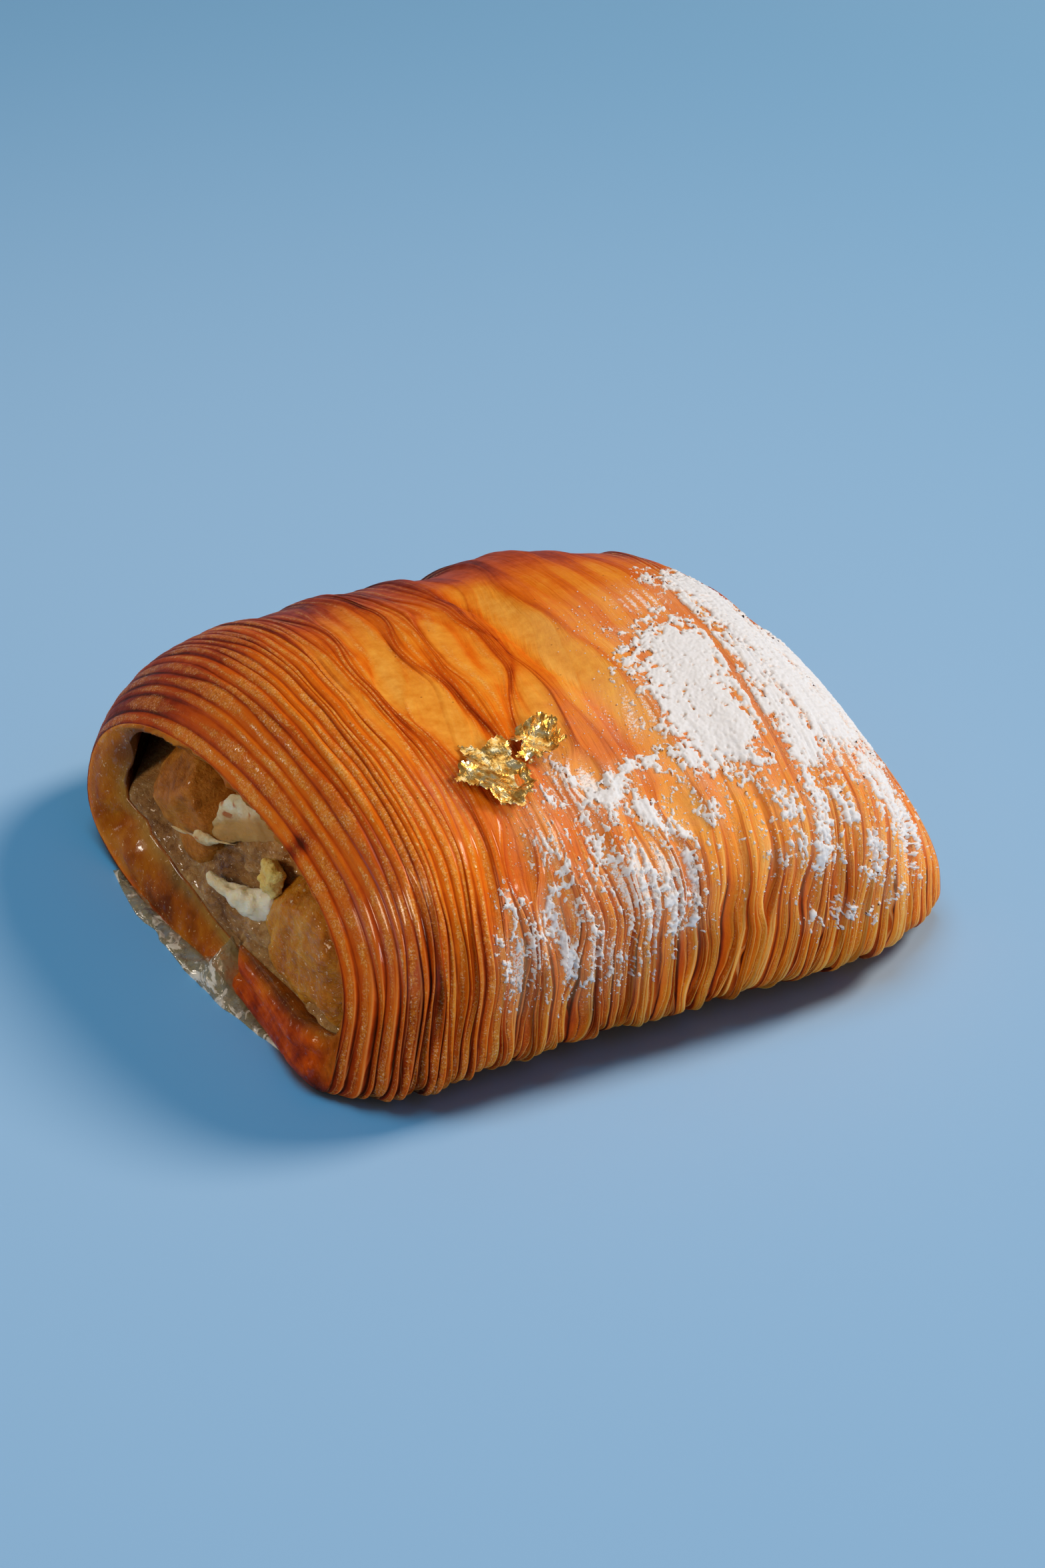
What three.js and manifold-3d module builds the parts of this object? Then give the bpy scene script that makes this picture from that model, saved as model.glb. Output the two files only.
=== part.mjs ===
// A rolled, laminated pastry: a ridged and pleated crust wrapped round a fruit and cream
// filling that shows at both open ends, with three scraps of gold leaf on top.
// Millimetres, +Z up. X runs along the roll, -Y is the front, and the origin is on the
// surface it rests on, below the middle of its box.

import * as THREE from 'three';
import { mergeVertices } from 'three/addons/utils/BufferGeometryUtils.js';
import Module from 'manifold-3d';

const wasm = await Module();
wasm.setup();

// Driving dimensions
const rollLength = 110;
const rollWidth = 108.5;
const rollHeight = 46;
const bellyShare = 0.39; // height of the widest line, as a share of the local height
const restFlat = 0.4; // what the base is flattened by where it rests
const backShift = -3.1; // how far the ends' sections stand forward of the middle
const settleX = 2.2; // puts the box's middle over the origin
const settleY = 0.35;
const gap = 0.3; // between pieces that touch

// The ends: how much lower and narrower than the middle, and how late that sets in.
// A mouth leans back by lean for each mm of height and turns by skew across the roll.
const leftEnd = { drop: 0.3, narrowing: 0.25, power: 6.5, lean: 0.2, skew: -0.15 };
const leftTuck = { depth: 2.4, across: -9, halfAcross: 10, height: 14 }; // base drawn in under the mouth
const rightEnd = { drop: 0.54, narrowing: 0.31, power: 4.8, lean: -0.12, skew: 0 };

// Squareness of the section's four quarters: 2 is round, more is squarer
const squareness = { topFront: 2.4, topBack: 1.6, lowFront: 4, lowFrontLeftEnd: 9, lowBack: 2.9 };

// The bore through the dough: the wall is thin on top and in front, thick behind and below
const wall = { top: 2.4, front: 2.4, back: 6, base: 4.2 };
const boreSquareness = { topFront: 2.3, topBack: 1.7, lowFront: 4, lowBack: 2.5 };
const pasteEdge = 0.955; // where the paste meets the bore, as a share of the half length
const boreStations = [1, pasteEdge, 0.75, 0.3, -0.3, -0.75, -pasteEdge, -1];

// The rolled lip of dough round each mouth, and the thicker fold along its lower front
const lip = { bulge: 0.6, backBulge: 0.5, foldBulge: 1.2, foldAcross: [-44, -15], foldRise: 2.2 };

// Ridges of the laminated crust, and rows of points round the section
const ridgePitch = 2;
const stripsOnTop = 30;
const stripsBelow = 5;
const closestRidges = 0.45;
const ridgeDepth = { left: 0.7, middle: 0.6, front: 1.2, smooth: 0.12 };
const smoothPatch = { along: 14, arc: 74, halfLength: 17, halfArc: 27 };

// Places where the ridges part round a smooth gap: along the roll, up the front from its
// widest line, half width, half length, and how hard the ridges are pushed aside
const ridgeGaps = [
  { along: -25, arc: 78, halfWidth: 2.2, halfLength: 10, push: 1.3 },
  { along: -21.5, arc: 48, halfWidth: 3.2, halfLength: 19, push: 1.6 },
  { along: -31, arc: 50, halfWidth: 1.7, halfLength: 12, push: 1.0 },
  { along: -7, arc: 70, halfWidth: 3.0, halfLength: 13, push: 1.2 },
  { along: -5, arc: 45, halfWidth: 2.8, halfLength: 14, push: 1.4 },
  { along: 2.5, arc: 62, halfWidth: 3.0, halfLength: 22, push: 1.4 },
  { along: -37.5, arc: 11, halfWidth: 1.9, halfLength: 8, push: 1.5 },
  { along: -21, arc: 24, halfWidth: 2.4, halfLength: 7, push: 1.6 },
  { along: -16, arc: 10, halfWidth: 2.6, halfLength: 8, push: 1.4 },
  { along: 6, arc: 22, halfWidth: 2.8, halfLength: 7, push: 1.5 },
  { along: 15, arc: 8, halfWidth: 2.0, halfLength: 8, push: 1.3 },
  { along: 25, arc: 6, halfWidth: 2.2, halfLength: 9, push: 1.3 },
];
const ridgeWander = { most: 0.5, along: 0.21, arc: 0.09 };
const frontLean = { most: 6, from: -4, to: 40, below: 22, over: 20 };

// Filling pieces that show at the mouths: the centre's depth behind the mouth, place across
// and height, the radii along X, Y and Z, the turn about X, and the seed of their lumps
const leftPieces = [
  { name: 'roast_fruit_left', at: [9.5, 13.5, 18.5], radii: [8.5, 11.5, 8.5], turn: 0.3, seed: 3 },
  { name: 'stewed_fruit_left', at: [9, -26, 12.5], radii: [9, 15, 10], turn: -0.35, seed: 7 },
  { name: 'cream_dollop_left', at: [4.4, -6.5, 12.5], radii: [4, 9.6, 3.4], turn: -0.25, seed: 11 },
  { name: 'cream_shred_upper_left', at: [2.2, 3, 22.6], radii: [2.4, 10, 1.7], turn: -0.55, seed: 5 },
  { name: 'cream_shred_lower_left', at: [2.8, 6, 15.6], radii: [2.2, 8, 1.4], turn: -0.3, seed: 6 },
  { name: 'fruit_bit_left', at: [5.2, -13, 20.4], radii: [4.2, 4, 4.4], turn: 0.5, seed: 9 },
];
const rightPieces = [
  { name: 'roast_fruit_right', at: [9, -12, 9], radii: [7, 9, 5], turn: 0.1, seed: 13 },
  { name: 'stewed_fruit_right', at: [9, 14, 9.5], radii: [7, 10, 5], turn: 0.15, seed: 17 },
];
const lumpDepth = 0.1; // as a share of the radius

// The paste behind them: its face is sunk by recess from edge to middle, and it has slumped
// away from the roof near the left mouth
const pasteSeed = 31;
const pasteLumps = 1.6;
const pasteFace = [
  { share: 0.25, recess: 2 },
  { share: 0.6, recess: 2 },
  { share: 0.85, recess: 1.2 },
  { share: 1, recess: 0 },
];
const pasteSlump = { depth: 12, across: 24, halfAcross: 11, reach: 18, from: 18, to: 27 };

// Gold leaf: place along the roll and up the front, half sizes, turn, crumple and seed
const leafThickness = 0.3;
const leafClearance = 0.45;
const goldScraps = [
  { name: 'gold_leaf_large', along: -19.3, arc: 34.8, half: [7.2, 6.6], turn: 0.4, crumple: 0.9, seed: 21 },
  { name: 'gold_leaf_small', along: -8.9, arc: 39.8, half: [5.2, 3.5], turn: 0.1, crumple: 0.8, seed: 23 },
  { name: 'gold_leaf_shred', along: -12.3, arc: 36.4, half: [1.9, 0.7], turn: 0.9, crumple: 0.3, seed: 25 },
];

const looks = {
  crust: { color: 0xb9662a, roughness: 0.42, metalness: 0 },
  paste: { color: 0x8a7a5c, roughness: 0.25, metalness: 0 },
  roast_fruit: { color: 0xa8702c, roughness: 0.3, metalness: 0 },
  stewed_fruit: { color: 0xb89a4c, roughness: 0.2, metalness: 0 },
  fruit_bit: { color: 0xb5a850, roughness: 0.25, metalness: 0 },
  cream: { color: 0xe6dfc8, roughness: 0.35, metalness: 0 },
  gold_leaf: { color: 0xd8a836, roughness: 0.25, metalness: 1 },
};

const clamp = (value, low, high) => Math.min(high, Math.max(low, value));
const smooth = (from, to, value) => {
  const share = clamp((value - from) / (to - from), 0, 1);
  return share * share * (3 - 2 * share);
};
const bump = (value) => Math.exp(-0.5 * value * value);
const signedPower = (value, power) => Math.sign(value) * Math.abs(value) ** power;

// The smooth form: one section of the roll at t (-1 left mouth, 1 right mouth) and an angle
// that is 0 at the front, a quarter turn on top and negative below the front.
function sectionSize(t) {
  const end = t < 0 ? leftEnd : rightEnd;
  const late = Math.abs(t) ** end.power;
  return {
    end,
    halfWidth: (rollWidth / 2) * (1 - end.narrowing * late),
    height: rollHeight * (1 - end.drop * late),
  };
}

function quarterSquareness(t, angle) {
  const front = Math.cos(angle) > 0;
  if (Math.sin(angle) >= 0) return front ? squareness.topFront : squareness.topBack;
  if (!front) return squareness.lowBack;
  const squarer = t < 0 ? t ** 4 : 0;
  return squareness.lowFront + (squareness.lowFrontLeftEnd - squareness.lowFront) * squarer;
}

function tuckedIn(y, z) {
  const across = (y - leftTuck.across) / leftTuck.halfAcross;
  return leftTuck.depth * bump(across) * smooth(leftTuck.height, 0, z);
}

// A point of the section at t moved along the roll to where the mouths lean
function place(t, y, z) {
  const { end } = sectionSize(t);
  const late = t * t;
  let x = (t * rollLength) / 2 + (end.lean * z + end.skew * y) * late;
  if (t < 0) x += tuckedIn(y, z) * late ** 3;
  return new THREE.Vector3(x + settleX, y + backShift * late + settleY, z);
}

function outerPoint(t, angle) {
  const { halfWidth, height } = sectionSize(t);
  const power = 2 / quarterSquareness(t, angle);
  const belly = bellyShare * height;
  const up = signedPower(Math.sin(angle), power);
  const y = -halfWidth * signedPower(Math.cos(angle), power);
  const z = belly + (up > 0 ? height - belly : belly) * up;
  return place(t, y, Math.max(0, z - restFlat));
}

function borePoint(t, angle, shrink = 0) {
  const { halfWidth, height } = sectionSize(t);
  const front = Math.cos(angle) > 0;
  const upper = front ? boreSquareness.topFront : boreSquareness.topBack;
  const lower = front ? boreSquareness.lowFront : boreSquareness.lowBack;
  const power = 2 / (Math.sin(angle) >= 0 ? upper : lower);
  const belly = Math.max(bellyShare * height, wall.base + 3);
  const up = signedPower(Math.sin(angle), power);
  const across = signedPower(Math.cos(angle), power);
  const side = halfWidth - shrink - (across > 0 ? wall.front : wall.back);
  const rise = up > 0 ? height - restFlat - wall.top - belly : belly - wall.base;
  return place(t, -side * across, belly + (rise - shrink) * up);
}

// Angles round the section, spaced by length along the middle section: first up the front
// and over the top, then back under the base
function spacedAngles(from, to, strips) {
  const steps = 400;
  const lengths = [0];
  for (let i = 1; i <= steps; i += 1) {
    const before = outerPoint(0, from + ((to - from) * (i - 1)) / steps);
    const after = outerPoint(0, from + ((to - from) * i) / steps);
    lengths.push(lengths[i - 1] + before.distanceTo(after));
  }
  const angles = [];
  for (let strip = 0; strip < strips; strip += 1) {
    const wanted = (lengths[steps] * strip) / strips;
    const i = lengths.findIndex((length, index) => index > 0 && length > wanted) - 1;
    const share = (wanted - lengths[i]) / (lengths[i + 1] - lengths[i]);
    angles.push(from + ((to - from) * (i + share)) / steps);
  }
  return angles;
}

const underFront = -1.05;
const underBack = Math.PI + 0.75;
const angles = [
  ...spacedAngles(underFront, underBack, stripsOnTop),
  ...spacedAngles(underBack, underFront + 2 * Math.PI, stripsBelow),
];

// Length round the middle section from the front's widest line, positive going up
function arcAt(angle) {
  const steps = 60;
  let arc = 0;
  for (let i = 0; i < steps; i += 1) {
    arc += outerPoint(0, (angle * i) / steps).distanceTo(outerPoint(0, (angle * (i + 1)) / steps));
  }
  return Math.sign(angle) * arc;
}

function angleAt(arc) {
  let low = underFront;
  let high = underBack;
  for (let i = 0; i < 40; i += 1) {
    const middle = (low + high) / 2;
    if (arcAt(middle) < arc) low = middle;
    else high = middle;
  }
  return (low + high) / 2;
}

// Where a ridge runs: its place along the roll, pushed aside by the smooth gaps
function ridgePlace(along, arc) {
  const t = (2 * along) / rollLength;
  let moved = 0;
  for (const open of ridgeGaps) {
    const across = (along - open.along) / open.halfWidth;
    const lengthwise = (arc - open.arc) / open.halfLength;
    moved += open.push * open.halfWidth * across * bump(across) * Math.exp(-0.5 * lengthwise ** 4);
  }
  const below = smooth(0, frontLean.over, frontLean.below - arc);
  moved -= frontLean.most * smooth(frontLean.from, frontLean.to, along) * below;
  moved += ridgeWander.most * Math.sin(ridgeWander.along * along + ridgeWander.arc * arc);
  return along + moved * (1 - t ** 6);
}

function grooveDepth(along, arc, angle) {
  const t = (2 * along) / rollLength;
  const left = smooth(-28, -38, along);
  const front = smooth(22, 4, arc);
  const acrossPatch = (along - smoothPatch.along) / smoothPatch.halfLength;
  const upPatch = (arc - smoothPatch.arc) / smoothPatch.halfArc;
  const patch = bump(acrossPatch ** 2) * bump(upPatch ** 2);
  let depth = ridgeDepth.middle + (ridgeDepth.left - ridgeDepth.middle) * left;
  depth += (ridgeDepth.front - depth) * front;
  depth += (ridgeDepth.smooth - depth) * patch;
  const turnedUnder = smooth(0.45, 0.95, -Math.sin(angle));
  return depth * (1 - turnedUnder) * (1 - t ** 40);
}

// The crust's outside: one column of points for each crest and one for each groove
const ridgeCount = Math.round(rollLength / ridgePitch);
const columns = 2 * ridgeCount + 1;

function ridgeRow(angle) {
  const arc = angle > underBack ? arcAt(underBack) : arcAt(angle);
  const places = [];
  for (let column = 0; column < columns; column += 1) {
    const along = (column / (columns - 1) - 0.5) * rollLength;
    let at = clamp(ridgePlace(along, arc), -rollLength / 2, rollLength / 2);
    if (column > 0) at = Math.max(at, places[column - 1].at + closestRidges / 2);
    places.push({ at, arc, groove: column % 2 === 1 });
  }
  const stretch = rollLength / (places[columns - 1].at + rollLength / 2);
  return places.map((ridge) => ({ ...ridge, at: (ridge.at + rollLength / 2) * stretch - rollLength / 2 }));
}

function crustPoint(ridge, angle) {
  const t = (2 * ridge.at) / rollLength;
  const point = outerPoint(t, angle);
  if (!ridge.groove) return point;
  const step = 0.02;
  const round = outerPoint(t, angle + step).sub(outerPoint(t, angle - step));
  const inward = new THREE.Vector3(0, round.z, -round.y).normalize();
  const depth = grooveDepth(ridge.at, ridge.arc, angle);
  point.addScaledVector(inward, depth);
  point.z = Math.max(0, point.z);
  return point;
}

function middleOf(points) {
  const sum = points.reduce((total, point) => total.add(point), new THREE.Vector3());
  return sum.divideScalar(points.length);
}

// Builds one closed surface from rings of points that follow each other; the last ring
// joins the first when looped, and otherwise both ends are closed by a middle point
function surfaceFromRings(rings, looped) {
  const around = rings[0].length;
  const positions = rings.flat().flatMap((point) => [point.x, point.y, point.z]);
  const faces = [];
  const last = looped ? rings.length : rings.length - 1;
  for (let i = 0; i < last; i += 1) {
    const here = i * around;
    const next = ((i + 1) % rings.length) * around;
    for (let j = 0; j < around; j += 1) {
      const k = (j + 1) % around;
      faces.push(here + j, here + k, next + k, here + j, next + k, next + j);
    }
  }
  if (!looped) {
    [rings[0], rings[rings.length - 1]].forEach((ring, side) => {
      const middle = middleOf(ring);
      const tip = positions.length / 3;
      positions.push(middle.x, middle.y, middle.z);
      const start = side === 0 ? 0 : (rings.length - 1) * around;
      for (let j = 0; j < around; j += 1) {
        const k = (j + 1) % around;
        if (side === 0) faces.push(tip, start + k, start + j);
        else faces.push(tip, start + j, start + k);
      }
    });
  }
  const geometry = new THREE.BufferGeometry();
  geometry.setAttribute('position', new THREE.Float32BufferAttribute(positions, 3));
  geometry.setIndex(faces);
  return geometry;
}

function volumeOf(geometry) {
  const at = geometry.attributes.position;
  const index = geometry.index.array;
  const corner = [new THREE.Vector3(), new THREE.Vector3(), new THREE.Vector3()];
  let volume = 0;
  for (let i = 0; i < index.length; i += 3) {
    corner.forEach((point, k) => point.fromBufferAttribute(at, index[i + k]));
    volume += corner[0].dot(corner[1].clone().cross(corner[2])) / 6;
  }
  return volume;
}

function facingOut(geometry) {
  if (volumeOf(geometry) > 0) return geometry;
  const index = geometry.index.array;
  for (let i = 0; i < index.length; i += 3) {
    [index[i], index[i + 1]] = [index[i + 1], index[i]];
  }
  return geometry;
}

// The rolled lip at a mouth lies between the crust's edge and the bore's edge
function lipRing(t, share) {
  const outward = Math.sign(t);
  return angles.map((angle) => {
    const outside = outerPoint(t, angle);
    const inside = borePoint(t, angle);
    const [near, far] = lip.foldAcross;
    const across = smooth(near - 3, near + 3, outside.y) * smooth(far + 4, far - 6, outside.y);
    const fold = across * smooth(0.2, -0.6, Math.sin(angle));
    const back = smooth(0, -0.8, Math.cos(angle));
    const swell = lip.bulge + lip.backBulge * back + (t < 0 ? lip.foldBulge * fold : 0);
    const point = outside.lerp(inside, share);
    point.x += outward * swell * Math.sin(Math.PI * share);
    point.z += (t < 0 ? lip.foldRise : 0) * fold * Math.sin((Math.PI * share) / 2) ** 2;
    return point;
  });
}

function boreRing(t, shrink = 0) {
  const mouth = lipRing(Math.sign(t), 1);
  const flush = smooth(0.7, 1, Math.abs(t));
  return angles.map((angle, i) => {
    const point = borePoint(t, angle, shrink);
    point.z += (mouth[i].z - borePoint(Math.sign(t), angle).z) * flush;
    return point;
  });
}

function pastryGeometry() {
  const rows = angles.map(ridgeRow);
  const rings = [];
  for (let column = 0; column < columns; column += 1) {
    rings.push(angles.map((angle, row) => crustPoint(rows[row][column], angle)));
  }
  const lipShares = [0.3, 0.7];
  lipShares.forEach((share) => rings.push(lipRing(1, share)));
  boreStations.forEach((t) => rings.push(boreRing(t)));
  [...lipShares].reverse().forEach((share) => rings.push(lipRing(-1, share)));
  return facingOut(surfaceFromRings(rings, true));
}

// A repeatable bumpy value over directions, for lumps and crumples
function lumpsFor(seed) {
  const waves = [];
  let state = seed * 7919 + 17;
  const draw = () => {
    state = (state * 1664525 + 1013904223) % 4294967296;
    return state / 4294967296;
  };
  for (let i = 0; i < 6; i += 1) {
    const direction = new THREE.Vector3(draw() - 0.5, draw() - 0.5, draw() - 0.5).normalize();
    waves.push({ direction, pace: 2 + 4 * draw(), start: 6.3 * draw() });
  }
  return (point) => {
    let sum = 0;
    waves.forEach(({ direction, pace, start }) => {
      sum += Math.sin(pace * direction.dot(point) + start);
    });
    return sum / waves.length;
  };
}

// A solid of the bore's own form, run out past both mouths, that pieces are cut to
function boreSolid(shrink) {
  const rings = boreStations.map((t) => boreRing(t, shrink));
  const reach = 4;
  rings.unshift(rings[0].map((point) => point.clone().add(new THREE.Vector3(reach, 0, 0))));
  rings.push(rings[rings.length - 1].map((point) => point.clone().sub(new THREE.Vector3(reach, 0, 0))));
  return toSolid(facingOut(surfaceFromRings(rings, false)));
}

function toSolid(geometry) {
  geometry.deleteAttribute('normal');
  geometry.deleteAttribute('uv');
  const merged = mergeVertices(geometry, 1e-4);
  return new wasm.Manifold(
    new wasm.Mesh({
      numProp: 3,
      vertProperties: new Float32Array(merged.attributes.position.array),
      triVerts: new Uint32Array(merged.index.array),
    }),
  );
}

function toGeometry(solid) {
  const mesh = solid.getMesh();
  const geometry = new THREE.BufferGeometry();
  geometry.setAttribute('position', new THREE.BufferAttribute(mesh.vertProperties, 3));
  geometry.setIndex(new THREE.BufferAttribute(mesh.triVerts, 1));
  return geometry;
}

function mouthX(side, y, z) {
  const end = side < 0 ? leftEnd : rightEnd;
  return (side * rollLength) / 2 + end.lean * z + end.skew * y + settleX;
}

function pieceSolid(piece, side, grown) {
  const [depth, y, z] = piece.at;
  const lumps = lumpsFor(piece.seed);
  const geometry = new THREE.SphereGeometry(1, 14, 9);
  const at = geometry.attributes.position;
  const point = new THREE.Vector3();
  const turn = new THREE.Euler(piece.turn, 0, 0);
  for (let i = 0; i < at.count; i += 1) {
    point.fromBufferAttribute(at, i);
    const swell = 1 + lumpDepth * lumps(point);
    point.set(...piece.radii.map((radius, axis) => (radius * swell + grown) * point.getComponent(axis)));
    point.applyEuler(turn);
    point.add(new THREE.Vector3(mouthX(side, y, z) - side * depth, y, z));
    at.setXYZ(i, point.x, point.y, point.z);
  }
  return toSolid(geometry);
}

// The paste that runs through the roll from mouth to mouth, with an uneven face at each
function fillingGeometry(otherPieces) {
  const lumps = lumpsFor(pasteSeed);
  const facing = (side) => {
    const edge = boreRing(side * pasteEdge, gap);
    const heart = middleOf(edge);
    return pasteFace.map(({ share, recess }) =>
      edge.map((rim) => {
        const point = heart.clone().lerp(rim, share);
        const uneven = pasteLumps * lumps(point.clone().multiplyScalar(0.16));
        point.x -= side * (recess + uneven) * smooth(1, 0.8, share);
        return slumped(point, side);
      }),
    );
  };
  const stations = boreStations.filter((t) => Math.abs(t) < pasteEdge);
  const body = stations.map((t) => boreRing(t, gap).map((point) => slumped(point, Math.sign(t))));
  const rings = [...facing(1), ...body, ...facing(-1).reverse()];
  let solid = toSolid(facingOut(surfaceFromRings(rings, false)));
  otherPieces.forEach((other) => {
    solid = solid.subtract(other);
  });
  return toGeometry(solid);
}

// Lowers the paste under the roof near the left mouth, where a dark hollow shows
function slumped(point, side) {
  if (side >= 0) return point;
  const fromMouth = point.x - mouthX(-1, point.y, point.z);
  const across = (point.y - pasteSlump.across) / pasteSlump.halfAcross;
  const sunk = pasteSlump.depth * bump(across) * bump(fromMouth / pasteSlump.reach);
  point.z -= sunk * smooth(pasteSlump.from, pasteSlump.to, point.z);
  return point;
}

// A crumpled scrap of leaf over the crust, with both faces split alike
function leafGeometry(scrap) {
  const lumps = lumpsFor(scrap.seed);
  const rings = 3;
  const spokes = 14;
  const cells = [];
  for (let ring = 1; ring <= rings; ring += 1) {
    for (let spoke = 0; spoke < spokes; spoke += 1) {
      cells.push([ring / rings, (spoke / spokes) * 2 * Math.PI]);
    }
  }
  const onCrust = ([reach, direction], lift) => {
    const onEdge = new THREE.Vector3(Math.cos(direction), Math.sin(direction), 0);
    const ragged = 0.82 + 0.3 * lumps(onEdge.multiplyScalar(1.4));
    const a = scrap.half[0] * reach * ragged * Math.cos(direction);
    const b = scrap.half[1] * reach * ragged * Math.sin(direction);
    const along = scrap.along + a * Math.cos(scrap.turn) - b * Math.sin(scrap.turn);
    const arc = scrap.arc + a * Math.sin(scrap.turn) + b * Math.cos(scrap.turn);
    const t = (2 * along) / rollLength;
    const angle = angleAt(arc);
    const point = outerPoint(t, angle);
    const round = outerPoint(t, angle + 0.02).sub(outerPoint(t, angle - 0.02));
    const outward = new THREE.Vector3(0, -round.z, round.y).normalize();
    const crumple = scrap.crumple * (0.5 + 0.5 * lumps(new THREE.Vector3(a, b, 0).multiplyScalar(0.55)));
    return point.addScaledVector(outward, leafClearance + crumple + lift);
  };
  const positions = [];
  for (const lift of [leafThickness, 0]) {
    [[0, 0], ...cells].forEach((cell) => positions.push(...onCrust(cell, lift).toArray()));
  }
  const layer = 1 + cells.length;
  const faces = [];
  const triangle = (a, b, c) => faces.push(a, b, c, layer + a, layer + c, layer + b);
  for (let spoke = 0; spoke < spokes; spoke += 1) {
    const next = (spoke + 1) % spokes;
    triangle(0, 1 + spoke, 1 + next);
    for (let ring = 0; ring < rings - 1; ring += 1) {
      const inner = 1 + ring * spokes;
      const outer = inner + spokes;
      triangle(inner + spoke, outer + spoke, outer + next);
      triangle(inner + spoke, outer + next, inner + next);
    }
    const edge = 1 + (rings - 1) * spokes;
    faces.push(edge + spoke, layer + edge + spoke, layer + edge + next);
    faces.push(edge + spoke, layer + edge + next, edge + next);
  }
  const geometry = new THREE.BufferGeometry();
  geometry.setAttribute('position', new THREE.Float32BufferAttribute(positions, 3));
  geometry.setIndex(faces);
  return facingOut(geometry);
}

function namedMesh(name, geometry, look) {
  geometry.computeVertexNormals();
  const mesh = new THREE.Mesh(geometry, new THREE.MeshStandardMaterial(looks[look]));
  mesh.name = name;
  return mesh;
}

const part = new THREE.Group();
part.add(namedMesh('pastry', pastryGeometry(), 'crust'));

const fitting = boreSolid(gap);
const grownPieces = [];
function addPieces(pieces, side) {
  pieces.forEach((piece) => {
    let solid = pieceSolid(piece, side, 0).intersect(fitting);
    grownPieces.forEach((other) => {
      solid = solid.subtract(other);
    });
    grownPieces.push(pieceSolid(piece, side, gap));
    const look = Object.keys(looks).find((word) => piece.name.startsWith(word));
    part.add(namedMesh(piece.name, toGeometry(solid), look));
  });
}
addPieces(leftPieces, -1);
addPieces(rightPieces, 1);
part.add(namedMesh('filling', fillingGeometry(grownPieces), 'paste'));
goldScraps.forEach((scrap) => part.add(namedMesh(scrap.name, leafGeometry(scrap), 'gold_leaf')));

export default part;
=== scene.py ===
import bmesh
import bpy
import math
import numpy as np
from collections import namedtuple
from mathutils import Matrix, Vector


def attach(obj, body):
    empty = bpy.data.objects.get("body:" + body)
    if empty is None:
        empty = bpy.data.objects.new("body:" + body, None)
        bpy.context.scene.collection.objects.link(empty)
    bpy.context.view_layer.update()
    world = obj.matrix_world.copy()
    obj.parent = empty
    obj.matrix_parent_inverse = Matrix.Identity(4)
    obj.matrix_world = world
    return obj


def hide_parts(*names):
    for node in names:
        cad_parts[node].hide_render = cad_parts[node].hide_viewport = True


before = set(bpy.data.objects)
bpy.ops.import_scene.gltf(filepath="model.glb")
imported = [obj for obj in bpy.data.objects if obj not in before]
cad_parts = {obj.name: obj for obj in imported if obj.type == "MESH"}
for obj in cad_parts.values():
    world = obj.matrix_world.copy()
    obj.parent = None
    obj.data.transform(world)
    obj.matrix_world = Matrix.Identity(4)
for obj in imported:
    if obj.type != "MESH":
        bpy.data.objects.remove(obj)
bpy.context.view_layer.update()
mm = 0.001  # every length below is in millimetres


# Node graphs written as sums
class Wire:  # one output of a material's node
    def __init__(self, graph, socket):
        self.graph = graph
        self.socket = socket

    def maths(self, operation, first, second=None):
        return self.graph.node("ShaderNodeMath", {"operation": operation}, {0: first, 1: second})

    def __add__(self, other):
        return self.maths("ADD", self, other)

    def __sub__(self, other):
        return self.maths("SUBTRACT", self, other)

    def __rsub__(self, other):
        return self.maths("SUBTRACT", other, self)

    def __mul__(self, other):
        return self.maths("MULTIPLY", self, other)

    __radd__ = __add__
    __rmul__ = __mul__

    def __abs__(self):
        return self.maths("ABSOLUTE", self)

    def fraction(self):  # what is left after the whole number
        return self.maths("FRACT", self)

    def above(self, low, high):  # 0 below low, 1 above high
        ends = {"Value": self, "From Min": low, "From Max": high}
        return self.graph.node("ShaderNodeMapRange", {"interpolation_type": "SMOOTHSTEP"}, ends)


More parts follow.
